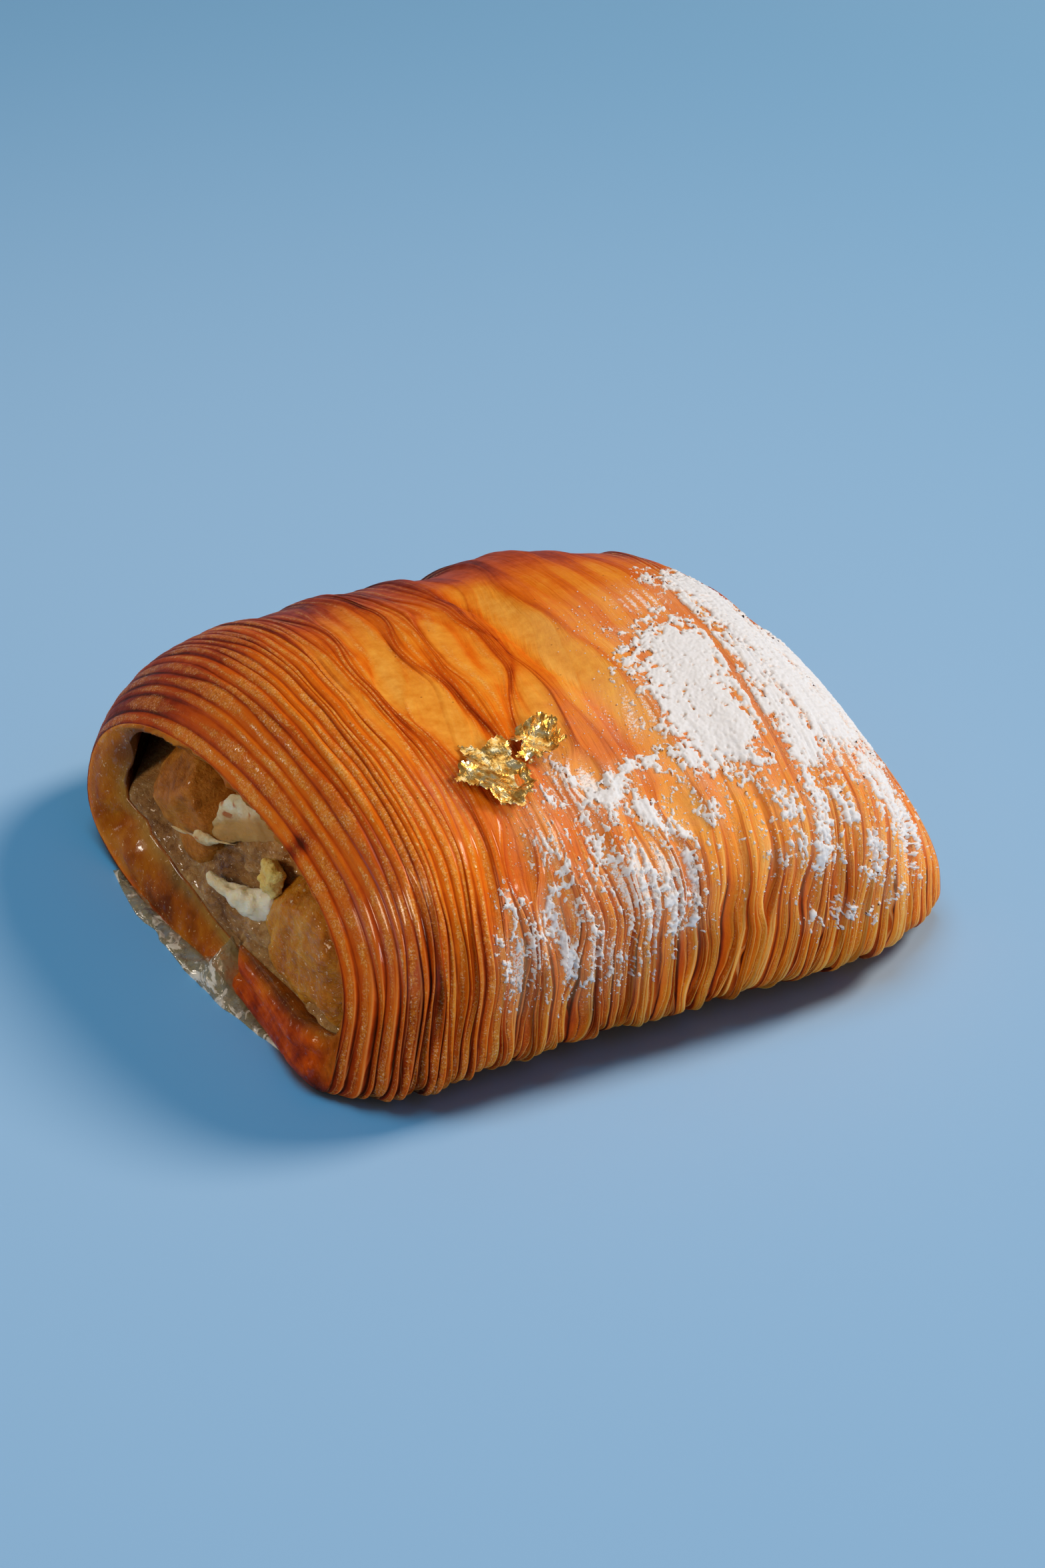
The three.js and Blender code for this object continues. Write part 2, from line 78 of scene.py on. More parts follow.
class Graph:
    def __init__(self, name):
        self.material = bpy.data.materials.new(name)
        self.material.use_nodes = True
        self.tree = self.material.node_tree
        self.tree.nodes.clear()

    def node(self, kind, settings=None, inputs=None, output=0):
        made = self.tree.nodes.new(kind)
        for word, value in (settings or {}).items():
            if word == "stops":
                ramp = made.color_ramp
                while len(ramp.elements) < len(value):
                    ramp.elements.new(0.5)
                for element, (place, colour) in zip(ramp.elements, value):
                    element.position = place
                    element.color = (*linear(colour), 1)
            else:
                setattr(made, word, value)
        for word, value in (inputs or {}).items():
            if isinstance(value, Wire):
                self.tree.links.new(value.socket, made.inputs[word])
            elif value is not None:
                made.inputs[word].default_value = value
        return Wire(self, made.outputs[output]) if made.outputs else None

    def attribute(self, name, vector=False):
        return self.node("ShaderNodeAttribute", {"attribute_name": name}, output=1 if vector else 2)

    def place(self):  # where on the piece, in millimetres
        return self.scaled(self.node("ShaderNodeTexCoord", output=3), 1000)

    def part(self, vector, index):  # one number of a vector
        return self.node("ShaderNodeSeparateXYZ", inputs={0: vector}, output=index)

    def vector(self, x, y, z):
        return self.node("ShaderNodeCombineXYZ", inputs={0: x, 1: y, 2: z})

    def scaled(self, vector, by):
        by = by if isinstance(by, tuple) else (by, by, by)
        return self.node("ShaderNodeVectorMath", {"operation": "MULTIPLY"}, {0: vector, 1: by})

    def noise(self, vector, scale, detail=3, rough=0.55, twist=0):
        values = {"Vector": vector, "Scale": scale, "Detail": detail, "Roughness": rough, "Distortion": twist}
        return self.node("ShaderNodeTexNoise", inputs=values)

    def ramp(self, value, stops):
        return self.node("ShaderNodeValToRGB", {"stops": stops}, {"Fac": value})

    def mix(self, share, first, second):
        first, second = [end if isinstance(end, Wire) else (*linear(end), 1) for end in (first, second)]
        return self.node("ShaderNodeMix", {"data_type": "RGBA"}, {0: share, 6: first, 7: second}, output=2)

    def bump(self, height, strength, distance, under=None):
        values = {"Height": height, "Strength": strength, "Distance": distance, "Normal": under}
        return self.node("ShaderNodeBump", inputs=values)

    def finish(self, colour, roughness, normal=None, coat=None, **fixed):
        values = {"Base Color": colour, "Roughness": roughness, "Normal": normal, "Coat Weight": coat}
        values.update({word.replace("_", " "): value for word, value in fixed.items()})
        shader = self.node("ShaderNodeBsdfPrincipled", inputs=values)
        self.node("ShaderNodeOutputMaterial", inputs={"Surface": shader})
        return self.material


def linear(colour):  # from the usual 0 to 255 screen colour
    share = [part / 255 for part in colour]
    return [part / 12.92 if part <= 0.04045 else ((part + 0.055) / 1.055) ** 2.4 for part in share]


# Small numeric helpers
def smooth(low, high, value):
    share = np.clip((value - low) / (high - low), 0, 1)
    return share * share * (3 - 2 * share)


def hill(value):
    return np.exp(-0.5 * value ** 2)


def signedPower(value, power):
    return np.sign(value) * np.abs(value) ** power


def turned(a, b, angle):
    return a * math.cos(angle) - b * math.sin(angle), a * math.sin(angle) + b * math.cos(angle)


def field(x, y, z=0.0, seed=1, octaves=1, rough=0.5):  # repeatable bumps, about -1 to 1
    x, y, z = np.broadcast_arrays(np.asarray(x, float), np.asarray(y, float), np.asarray(z, float))
    total, weight = np.zeros(x.shape), 0.0
    size = 64
    for octave in range(octaves):
        table = np.random.RandomState(seed + 31 * octave).uniform(-1, 1, (size, size, size))
        places = [values * 2 ** octave + 7.3 * octave for values in (x, y, z)]
        corners = [np.floor(values).astype(int) for values in places]
        shares = [values - corner for values, corner in zip(places, corners)]
        shares = [share ** 3 * (share * (share * 6 - 15) + 10) for share in shares]
        for steps in np.ndindex(2, 2, 2):
            here = rough ** octave
            for share, step in zip(shares, steps):
                here = here * (share if step else 1 - share)
            total += here * table[tuple((corner + step) % size for corner, step in zip(corners, steps))]
        weight += rough ** octave
    return total / weight * 1.4


def makeMesh(name, points, faces, material, flat=False):
    mesh = bpy.data.meshes.new(name)
    points = np.asarray(points, float).reshape(-1, 3) * mm
    faces = np.asarray(faces, int)
    mesh.vertices.add(len(points))
    mesh.vertices.foreach_set("co", points.ravel())
    mesh.loops.add(faces.size)
    mesh.loops.foreach_set("vertex_index", faces.ravel())
    mesh.polygons.add(len(faces))
    mesh.polygons.foreach_set("loop_start", np.arange(len(faces)) * faces.shape[1])
    mesh.polygons.foreach_set("use_smooth", np.full(len(faces), not flat))
    mesh.update(calc_edges=True)
    mesh.validate()
    piece = bpy.data.objects.new(name, mesh)
    bpy.context.scene.collection.objects.link(piece)
    mesh.materials.append(material)
    return piece


def gridFaces(across, along, closedAcross=False, closedAlong=False):
    i = np.arange(across if closedAcross else across - 1)
    j = np.arange(along if closedAlong else along - 1)
    i, j = np.meshgrid(i, j, indexing="ij")
    nextI, nextJ = (i + 1) % across, (j + 1) % along
    corners = [i * along + j, nextI * along + j, nextI * along + nextJ, i * along + nextJ]
    return np.stack(corners, -1).reshape(-1, 4)


def halved(faces):  # two triangles for each four-sided face
    return np.concatenate([faces[:, [0, 1, 2]], faces[:, [0, 2, 3]]])


def addNumbers(piece, name, values):
    values = np.asarray(values, float)
    vector = values.ndim == 2
    made = piece.data.attributes.new(name, "FLOAT_VECTOR" if vector else "FLOAT", "POINT")
    made.data.foreach_set("vector" if vector else "value", values.ravel())


# Camera, floor and light. The focal length and the offsets are in the photo's pixels.
view = {"turn": -24.07, "rise": 34.94, "away": 450.7, "focal": 4201, "tall": 2352, "offX": -11.3,
        "offY": 121.6}
settle = (2.2, 0.35)  # the box's middle from the roll's own middle


def setCamera():
    turn, rise = math.radians(view["turn"]), math.radians(view["rise"])
    back = Vector((math.sin(turn) * math.cos(rise), -math.cos(turn) * math.cos(rise), math.sin(rise)))
    right = Vector((math.cos(turn), math.sin(turn), 0))
    up = back.cross(right)
    aim = -back - right * view["offX"] / view["focal"] + up * view["offY"] / view["focal"]
    aim.normalize()
    side = aim.cross(up).normalized()
    camera = bpy.data.objects.new("camera", bpy.data.cameras.new("camera"))
    bpy.context.scene.collection.objects.link(camera)
    place = back * view["away"] + Vector((*settle, 0))
    axes = Matrix((side, side.cross(aim), -aim)).transposed().to_4x4()
    camera.matrix_world = Matrix.Translation(place * mm) @ axes
    camera.data.sensor_width = 36
    camera.data.lens = view["focal"] / view["tall"] * 36
    camera.data.clip_start = 0.01
    bpy.context.scene.camera = camera


# painted light on the floor: its colour is palest round one point and darker further off, standing in for the
# lamps' falloff
floorLook = {"near": (198, 221, 243), "far": (158, 200, 230), "nearest": (-110, 50, 0), "from": 60,
             "to": 480, "size": 6000, "under": 0.02}


def setFloor():
    graph = Graph("floor")
    ends = {0: graph.place(), 1: floorLook["nearest"]}
    away = graph.node("ShaderNodeVectorMath", {"operation": "DISTANCE"}, ends, output=1)
    paintedLightFalloff = graph.mix(away.above(floorLook["from"], floorLook["to"]), floorLook["near"], floorLook["far"])
    half = floorLook["size"] / 2
    corners = [(-half, -half, 0), (half, -half, 0), (half, half, 0), (-half, half, 0)]
    mesh = bpy.data.meshes.new("floor")
    mesh.from_pydata([Vector(corner) * mm for corner in corners], [], [(0, 1, 2, 3)])
    mesh.materials.append(graph.finish(paintedLightFalloff, 0.55, Specular_IOR_Level=0.25))
    floor = bpy.data.objects.new("floor", mesh)
    bpy.context.scene.collection.objects.link(floor)
    floor.location.z = -floorLook["under"] * mm
    return floor


lights = [  # name, place and size in mm, power in watts, colour, and what a fill is kept to
    ("key", (1150, -70, 1120), 460, 14.8, (255, 243, 230), None),
    ("top", (250, 300, 1450), 1100, 3.4, (255, 248, 240), "pastry"),
    ("front", (560, -1180, 760), 600, 12.0, (255, 246, 236), "pastry"),
    ("side", (-1180, -140, 600), 420, 5.0, (255, 226, 190), "pastry"),
    ("glint", (-950, 900, 420), 200, 2.0, (255, 244, 230), "pastry"),
    ("frontOnFloor", (250, -700, 900), 500, 0.5, (40, 150, 255), "floor"),
    ("skyOnFloor", (-250, -60, 1600), 900, 8.6, (90, 210, 255), "floor"),
]
surround = {"colour": (232, 238, 246), "strength": 0.1}


def setLights(floor):
    for name, at, size, power, colour, keptTo in lights:
        lamp = bpy.data.lights.new(name, "AREA")
        lamp.shape = "DISK"
        lamp.size = size * mm
        lamp.energy = power
        lamp.color = linear(colour)
        source = bpy.data.objects.new(name, lamp)
        source.location = Vector(at) * mm
        source.rotation_euler = Vector(at).to_track_quat("Z", "Y").to_euler()
        bpy.context.scene.collection.objects.link(source)
        if keptTo:  # reaches the floor alone, or all but the floor
            reached = bpy.data.collections.new(name + "Reaches")
            reached.objects.link(floor)
            if keptTo == "pastry":
                reached.collection_objects[0].light_linking.link_state = "EXCLUDE"
            source.light_linking.receiver_collection = reached
    world = bpy.data.worlds.new("studio")
    world.use_nodes = True
    background = world.node_tree.nodes["Background"]
    background.inputs["Color"].default_value = (*linear(surround["colour"]), 1)
    background.inputs["Strength"].default_value = surround["strength"]
    bpy.context.scene.world = world
    bpy.context.scene.view_settings.view_transform = "Standard"


setCamera()
setLights(setFloor())
print("camera, floor and lights are set")


# The roll's smooth form. t runs from -1 at the left mouth to 1 at the right one.
roll = {"length": 110, "width": 108.5, "height": 46, "belly": 0.39, "restFlat": 0.4, "backShift": -3.1}
leftEnd = {"drop": 0.3, "narrowing": 0.25, "power": 6.5, "lean": 0.2, "skew": -0.15}
rightEnd = {"drop": 0.54, "narrowing": 0.31, "power": 4.8, "lean": -0.12, "skew": 0}
tuck = {"depth": 2.4, "across": -9, "halfAcross": 10, "height": 14}  # low in the left mouth's rim
# How square each quarter of the section is: 2 is round
outerCorners = {"topFront": 2.4, "topBack": 1.6, "lowFront": 4, "lowBack": 2.9,
                "topBackLeftEnd": 2.0, "lowFrontLeftEnd": 9}
boreCorners = {"topFront": 2.3, "topBack": 1.7, "lowFront": 4, "lowBack": 2.5,
               "topBackLeftEnd": 2.1, "lowFrontLeftEnd": 4}
wall = {"top": 2.4, "front": 2.4, "back": 6, "base": 4.2, "leastBelly": 3}  # how thick the dough is


def ofEnd(t, word):
    return np.where(t < 0, leftEnd[word], rightEnd[word])


def placed(t, y, z):
    late = t * t
    x = t * roll["length"] / 2 + (ofEnd(t, "lean") * z + ofEnd(t, "skew") * y) * late
    tucked = tuck["depth"] * hill((y - tuck["across"]) / tuck["halfAcross"]) * smooth(tuck["height"], 0, z)
    x = x + np.where(t < 0, tucked * late ** 3, 0)
    return np.stack([x + settle[0], y + roll["backShift"] * late + settle[1], z], -1)


def sectionSize(t):
    late = np.abs(t) ** ofEnd(t, "power")
    halfWidth = roll["width"] / 2 * (1 - ofEnd(t, "narrowing") * late)
    return halfWidth, roll["height"] * (1 - ofEnd(t, "drop") * late)


def squareness(t, corners, inFront, isAbove):
    late = np.minimum(t, 0) ** 4  # at the left end alone
    topBack = corners["topBack"] + (corners["topBackLeftEnd"] - corners["topBack"]) * late ** 2
    lowFront = corners["lowFront"] + (corners["lowFrontLeftEnd"] - corners["lowFront"]) * late
    above = np.where(inFront, corners["topFront"], topBack)
    return np.where(isAbove, above, np.where(inFront, lowFront, corners["lowBack"]))


def outerPoints(t, angle):
    t, angle = np.broadcast_arrays(np.asarray(t, float), np.asarray(angle, float))
    halfWidth, height = sectionSize(t)
    power = 2 / squareness(t, outerCorners, np.cos(angle) > 0, np.sin(angle) >= 0)
    up = signedPower(np.sin(angle), power)
    belly = roll["belly"] * height
    z = belly + np.where(up > 0, height - belly, belly) * up
    return placed(t, -halfWidth * signedPower(np.cos(angle), power), np.maximum(0, z - roll["restFlat"]))


def boreRoom(t, inFront, isAbove):  # middle height, reach sideways, reach up or down, squareness
    halfWidth, height = sectionSize(t)
    belly = np.maximum(roll["belly"] * height, wall["base"] + wall["leastBelly"])
    side = halfWidth - np.where(inFront, wall["front"], wall["back"])
    rise = np.where(isAbove, height - roll["restFlat"] - wall["top"] - belly, belly - wall["base"])
    return belly, side, rise, squareness(t, boreCorners, inFront, isAbove)


def borePoints(t, angle, shrink=0.0):
    t, angle = np.broadcast_arrays(np.asarray(t, float), np.asarray(angle, float))
    belly, side, rise, power = boreRoom(t, np.cos(angle) > 0, np.sin(angle) >= 0)
    across, up = signedPower(np.cos(angle), 2 / power), signedPower(np.sin(angle), 2 / power)
    return placed(t, -(side - shrink) * across, belly + (rise - shrink) * up)


def outwardFrom(t, angle, step=0.004):
    alongRoll = outerPoints(np.clip(t + step, -1, 1), angle) - outerPoints(np.clip(t - step, -1, 1), angle)
    roundIt = outerPoints(t, angle + step) - outerPoints(t, angle - step)
    across = np.cross(alongRoll, roundIt)
    return across / np.maximum(np.linalg.norm(across, axis=-1, keepdims=True), 1e-9)


# Rows round the section: an angle for each, and its arc, the way up the front in millimetres
rows = {"underFront": -1.12, "underBack": math.pi + 0.85, "frontStep": 1.0, "backStep": 2.6,
        "backFrom": 104, "below": 30, "belowArc": 20, "fine": 4000}
fineAngles = np.linspace(rows["underFront"], rows["underBack"], rows["fine"])
finePoints = outerPoints(np.zeros(rows["fine"]), fineAngles)
fineArcs = np.concatenate([[0], np.cumsum(np.linalg.norm(np.diff(finePoints, axis=0), axis=1))])
fineArcs -= np.interp(0, fineAngles, fineArcs)  # 0 at the front's widest line


def angleAt(arc):
    return np.interp(arc, fineArcs, fineAngles)


frontArcs = np.arange(fineArcs[0], rows["backFrom"], rows["frontStep"])
arcs = np.concatenate([frontArcs, np.arange(rows["backFrom"], fineArcs[-1], rows["backStep"])])
belowAngles = np.linspace(rows["underBack"], rows["underFront"] + 2 * math.pi, rows["below"] + 1)[:-1]
rowAngles = np.concatenate([angleAt(arcs), belowAngles])
rowArcs = np.concatenate([arcs, np.linspace(fineArcs[-1], fineArcs[-1] + rows["belowArc"], rows["below"])])
cosines, sines = np.cos(rowAngles), np.sin(rowAngles)
arcGrid = rowArcs[None, :]

# Ridges of the laminated crust. phases is where a ridge's columns stand across it.
ridges = {"pitch": 1.6, "uneven": 0.32, "closest": 0.3, "seed": 5, "crest": 0.86, "undercut": 0.7,
          "sharpBelow": 17, "phases": [0, 0.16, 0.4, 0.62, 0.78, 0.86, 0.93]}
# How deep the grooves between them are, and where the crust is nearly smooth
depths = {"left": 0.22, "middle": 0.05, "right": 0.22, "front": 0.85, "smooth": 0.02, "back": 0.3}
smoothPatch = {"along": 12, "arc": 70, "halfLength": 13, "halfArc": 32}
leaning = {"most": 6, "from": -4, "to": 40, "below": 20, "over": 22}
wander = [  # where, most, scale along the roll, scale up the front, seed
    ("mouth", 0.5, 0.45, 0.05, 2), ("middle", 1.3, 0.09, 0.03, 3), ("middle", 0.45, 0.35, 0.075, 4),
    ("front", 0.62, 0.6, 0.035, 6),
]

Gap = namedtuple("Gap", "along arc wide long push sink pale tilt", defaults=[0])
gaps = [  # smooth openings that push the ridges aside
    Gap(-23.5, 79, 1.8, 11, 1.6, 0.6, 0.5), Gap(-12.5, 72, 1.2, 5, 1.5, 0.3, 0.5),
    Gap(-12, 62, 1.8, 7, 1.6, 0.4, 0.5), Gap(-22.4, 52, 2.1, 12, 1.9, 0.6, 0.9, -0.16),
    Gap(-24.6, 60, 0.7, 9, 1.4, 0.1, 0.9, 0.14), Gap(-7, 44, 1.9, 9, 1.7, 0.6, 0.9, 0.1),
    Gap(1.8, 60, 2.6, 20, 1.5, 0.4, 1.0, -0.16), Gap(-33, 62, 0.8, 16, 1.2, 0.1, 0.5),
    Gap(-22, 20.5, 1.3, 4, 1.8, 1.6, -0.3), Gap(-5, 31.5, 1.3, 3.5, 1.8, 1.5, 0.6),
    Gap(-17.6, 12, 1.4, 5, 1.8, 1.5, -0.1), Gap(6.6, 22, 1.1, 3.2, 1.7, 1.2, 0.4),
    Gap(17.3, 8, 0.9, 4, 1.7, 1.5, -0.6), Gap(24.8, 6, 0.9, 3.6, 1.7, 1.4, -0.5),
    Gap(30, 5, 1.0, 4, 1.7, 1.4, -0.5), Gap(3.6, 1, 0.9, 4.5, 1.7, 1.4, -0.6),
    Gap(-37.6, 7, 1.2, 6, 1.8, 1.3, 0.1), Gap(-25.6, 3.5, 1.1, 6, 1.8, 1.4, -0.3),
    Gap(-15, -5, 1.1, 5, 1.7, 1.3, -0.3),
]
drawn = {"sink": (0.4, 1.0), "pale": (-0.5, 0.0)}  # for the gaps that chance places
pleats = {"count": 34, "seed": 12, "along": (-46, 48), "arc": (-14, 18), "wide": (0.4, 0.8), "long": (4, 9),
          "push": (1.0, 1.7), **drawn}
backGaps = {"count": 20, "seed": 8, "along": (-40, 44), "arc": (108, 175), "wide": (1.0, 2.4),
            "long": (8, 18), "push": (1.2, 1.8), **drawn}
for rule in (pleats, backGaps):
    draw = np.random.RandomState(rule["seed"])
    for _ in range(rule["count"]):
        gaps.append(Gap(*[draw.uniform(*rule[word]) for word in Gap._fields[:-1]]))

Crease = namedtuple("Crease", "wide dark line")
creases = [  # lines darkened with painted shade: places as (arc, along)
    Crease(0.7, 0.3, [(99, -23.5), (81, -24.5), (68, -26.8), (60, -27.5), (49, -29.8), (39, -32)]),
    Crease(1.0, 0.42, [(92, -18.5), (84, -19.5), (69, -20.2), (65, -17.8), (52, -17), (40, -16)]),
    Crease(0.4, 0.4, [(80, -12.8), (71, -15.5)]),
    Crease(0.7, 0.36, [(83, -13.8), (72, -10.2), (65, -10), (56, -11)]),
    Crease(0.36, 0.5, [(70, -7.8), (64, -4), (58, -5.2), (52, -8), (46, -8.2)]),
    Crease(1.5, 0.9, [(84, -6.5), (78, -4.2), (69, -3), (58, -1.5), (50, 1), (44, 2), (33, 3)]),
    Crease(0.7, 0.26, [(84, 7), (72, 8.5), (67, 9.8)]),
    Crease(0.6, 0.25, [(102, -30.2), (88, -29.2), (67, -28.2), (55, -27.2)]),
    Crease(0.42, 0.2, [(66, 27.2), (53, 27.2), (46, 26.5), (38, 26), (24, 25.5)]),
]
deepFold, sugarCrease = creases[5], creases[8]
swells = [(12, 101, 13, 12, 0.9), (46, 60, 8, 20, -0.7)]  # along, arc, half length, half arc, rise

# Columns follow the ridges: ridge number first, then the place along the roll on each row
ridgeCount = round(roll["length"] / ridges["pitch"])
widths = 1 + np.random.RandomState(ridges["seed"]).uniform(-ridges["uneven"], ridges["uneven"], ridgeCount)
edges = np.concatenate([[0], np.cumsum(widths)]) / widths.sum() * roll["length"] - roll["length"] / 2
columnNumbers = (np.arange(ridgeCount)[:, None] + np.array(ridges["phases"])).ravel()
columnNumbers = np.append(columnNumbers, ridgeCount)
nominal = np.interp(columnNumbers, np.arange(ridgeCount + 1), edges)[:, None]
phase = (columnNumbers % 1)[:, None]
number = np.floor(columnNumbers)[:, None]


def gapShape(gap):  # how many widths off its middle line, and how much of its length is there
    up = arcGrid - gap.arc
    return (nominal - gap.along - gap.tilt * up) / gap.wide, np.exp(-0.5 * np.abs(up / gap.long) ** 3)


def ridgePlaces():
    moved = np.zeros((len(columnNumbers), len(rowArcs)))
    for gap in gaps:
        across, length = gapShape(gap)
        moved += gap.push * gap.wide * across * hill(across) * length
    lean = smooth(leaning["from"], leaning["to"], nominal)
    lean = lean * smooth(0, leaning["over"], leaning["below"] - arcGrid)
    moved -= leaning["most"] * lean
    middle = smooth(-44, -28, nominal)
    shares = {"mouth": 1 - middle, "middle": middle, "front": smooth(34, 10, arcGrid)}
    for where, most, alongScale, upScale, seed in wander:
        moved += most * shares[where] * field(nominal * alongScale, arcGrid * upScale, seed=seed)
    half = roll["length"] / 2
    places = np.clip(nominal + moved * (1 - (nominal / half) ** 6), -half, half)
    steps = np.maximum(np.diff(places, axis=0), ridges["closest"] * np.diff(nominal, axis=0))
    reached = np.concatenate([np.zeros((1, len(rowArcs))), np.cumsum(steps, axis=0)])
    return reached / reached[-1:] * roll["length"] - half


places = ridgePlaces()
stretch = np.gradient(places, axis=0) / np.gradient(nominal, axis=0)
tGrid = 2 * places / roll["length"]
angleGrid = np.broadcast_to(rowAngles[None, :], places.shape)
turnedUnder = smooth(0.5, 0.95, -sines)[None, :]


def spot(along, arc, halfLength, halfArc):
    return hill((places - along) / halfLength) * hill((arcGrid - arc) / halfArc)


# Zones of the crust, each from 0 to 1
left = smooth(-25, -36, places)
front = smooth(24, 2, arcGrid)
back = smooth(100, 118, arcGrid)
right = smooth(24, 34, places) * (1 - front)
patch = hill(((places - smoothPatch["along"]) / smoothPatch["halfLength"]) ** 2)
patch = patch * hill(((arcGrid - smoothPatch["arc"]) / smoothPatch["halfArc"]) ** 2)


def reliefDepth():
    depth = depths["middle"]
    zones = {"left": left, "back": back, "right": right, "front": front * (1 - 0.35 * left), "smooth": patch}
    for word, share in zones.items():
        depth = depth + (depths[word] - depth) * share
    opened = np.clip(stretch, 0.3, 6)
    depth = depth * np.where(opened > 1, opened ** -1.6, opened ** 0.6)
    uneven = 0.9 * field(number * 7.13, arcGrid * 0.06, seed=14) * (1 - 0.85 * left)
    depth = depth * np.clip(1 + uneven, 0.1, 2)
    return depth * (1 - turnedUnder) * (1 - tGrid ** 60)


def ridgeProfile():  # 0 in the groove, 1 on the crest: plain ridges, and leaning fins at the front
    plateau = smooth(0, 0.3, phase) * smooth(0, 0.3, 1 - phase)
    crest = ridges["crest"]
    fin = np.where(phase < crest + 0.01, phase / crest, (1 - phase) / (1 - crest) * ridges["undercut"])
    return plateau + (fin - plateau) * front


def creaseShape(crease, along, arc):  # widths off the line, minus on its left, and how much of it is there
    arcsHere, alongHere = zip(*crease.line[::-1])
    away = along - np.interp(arc, arcsHere, alongHere)
    lengthwise = smooth(arcsHere[0] - 5, arcsHere[0] + 5, arc)
    return away / crease.wide, lengthwise * smooth(arcsHere[-1] + 5, arcsHere[-1] - 5, arc)


def sunkGrid():  # broad hollows and swells under the ridges, and how much paler the dough is, less painted shade along creases and round the openings
    sunk = np.zeros(places.shape)
    pale = np.zeros(places.shape)
    for gap in gaps:
        across, length = gapShape(gap)
        inside = hill(across * 1.1) * length
        sunk += gap.sink * inside
        pale += gap.pale * inside
        # painted shade: a dark outline round each opening
        pale -= 0.45 * max(gap.pale, 0) * hill((np.abs(across) - 1.5) / 0.3) * length
    for crease in creases:
        across, length = creaseShape(crease, places, arcGrid)
        sunk += 0.3 * crease.wide * hill(across) * length
        # painted shade darkening each crease
        pale -= 1.6 * crease.dark * hill(across) * length
    fold, length = creaseShape(deepFold, places, arcGrid)
    sunk += 1.1 * smooth(-0.6, 0.8, fold) * smooth(6, 1, fold) * length
    for along, arc, halfLength, halfArc, rise in swells:
        sunk -= rise * spot(along, arc, halfLength, halfArc)
    middle = (1 - left) * (1 - 0.6 * front) * (1 - 0.7 * patch)
    sunk += 0.5 * middle * (0.2 + field(nominal * 0.2, arcGrid * 0.03, seed=21))
    sunk += (0.14 + 0.3 * front) * (0.6 + field(number * 3.7, arcGrid * 0.06, seed=22)) * (1 - patch)
    return sunk * (1 - turnedUnder) * (1 - tGrid ** 20), pale


profile = ridgeProfile() * np.ones(places.shape)
depthGrid = reliefDepth()
sunk, pale = sunkGrid()
outward = outwardFrom(tGrid, angleGrid)
crustPoints = outerPoints(tGrid, angleGrid) - outward * (depthGrid * (1 - profile) + sunk)[..., None]
crustPoints[..., 2] = np.maximum(crustPoints[..., 2], 0)
print("crust laid out:", crustPoints.shape[0], "by", crustPoints.shape[1])

# Lips: rings from the crust's edge, share 0, to the bore, share 1
lip = {"rings": 13, "thinBulge": 0.2, "thinSlope": 2.0, "wallBulge": 0.4, "foldBulge": 2.0, "foldFrom": -44,
       "foldTo": -16, "foldSlant": 6, "foldRise": 3.6, "wallRise": 4.0, "wallIn": 3.6, "cornerRise": 1.2,
       "cornerOut": 1.4, "wallSlope": 2.6, "baseSlope": 1.5, "seam": 1.3, "seamAt": 0.62}
lipShares = np.linspace(0.04, 0.95, lip["rings"])


def edgeOf(side):
    return crustPoints[-1] if side > 0 else crustPoints[0]


def lipParts(side, share):  # how much of the rim is fold, thick wall behind, or base
    y = edgeOf(side)[:, 1]
    foldEnd = lip["foldTo"] - lip["foldSlant"] * share
    across = smooth(lip["foldFrom"] - 3, lip["foldFrom"] + 3, y) * smooth(foldEnd + 1.2, foldEnd - 2.5, y)
    fold = across * smooth(0.2, -0.6, sines) * (side < 0)
    thick = smooth(0.1, -0.8, cosines) * smooth(1.1, 0.5, sines)
    return fold, thick, smooth(-0.25, -0.8, sines) * (1 - fold)


def lipRing(side, share):
    edge = edgeOf(side)
    y = edge[:, 1]
    inside = borePoints(np.full(len(rowAngles), float(side)), rowAngles)
    wallHere = smooth(0.6, -0.3, sines) * smooth(-9, 10, y) * smooth(54, 20, y)
    atBack = smooth(0, -0.7, cosines) * smooth(0.8, 0.3, sines)
    # the left mouth's top back corner, where the dough is thin
    corner = smooth(0.0, -0.45, cosines) * smooth(0.18, 0.62, sines) * (side < 0)
    fold, thick, base = lipParts(side, share)
    thin = (1 - fold) * (1 - thick) * (1 - base)
    swell = lip["wallBulge"] * (1 - thin) * (1 - fold) + lip["foldBulge"] * fold + lip["thinBulge"]
    rough = 0.35 * field(rowArcs * 0.3, share * 2, seed=41)
    rough = rough + 0.4 * thin * field(rowArcs * 0.7, share * 4, seed=42)
    rough = rough + 0.8 * (thick + base) * field(rowArcs * 0.13, share * 1.6, seed=43)
    out = swell * math.sin(math.pi * share) + rough * math.sin(math.pi * min(share, 0.85))
    out = out - (lip["wallSlope"] * thick * (1 - corner) + lip["baseSlope"] * base) * share ** 1.2
    seam = hill((share - lip["seamAt"] + 0.1 * field(rowArcs * 0.12, 0, seed=45)) / 0.07)
    out = out - lip["seam"] * fold * seam - lip["thinSlope"] * thin * smooth(12, 3, y) * share
    rise = lip["foldRise"] * fold * math.sin(math.pi * share / 2) ** 2
    rise = rise + lip["wallRise"] * wallHere * share ** 1.5 + lip["cornerRise"] * corner * share
    ring = edge + (inside - edge) * share
    ring[:, 0] += side * out
    ring[:, 1] += (lip["cornerOut"] * corner - lip["wallIn"] * atBack) * share
    ring[:, 2] += rise
    return ring


def boreRing(t, shrink=0.0):
    side = 1 if t > 0 else -1
    plain = borePoints(np.full(len(rowAngles), float(side)), rowAngles)
    ring = borePoints(np.full(len(rowAngles), float(t)), rowAngles, shrink)
    return ring + (lipRing(side, 1) - plain) * smooth(0.7, 1, abs(t))


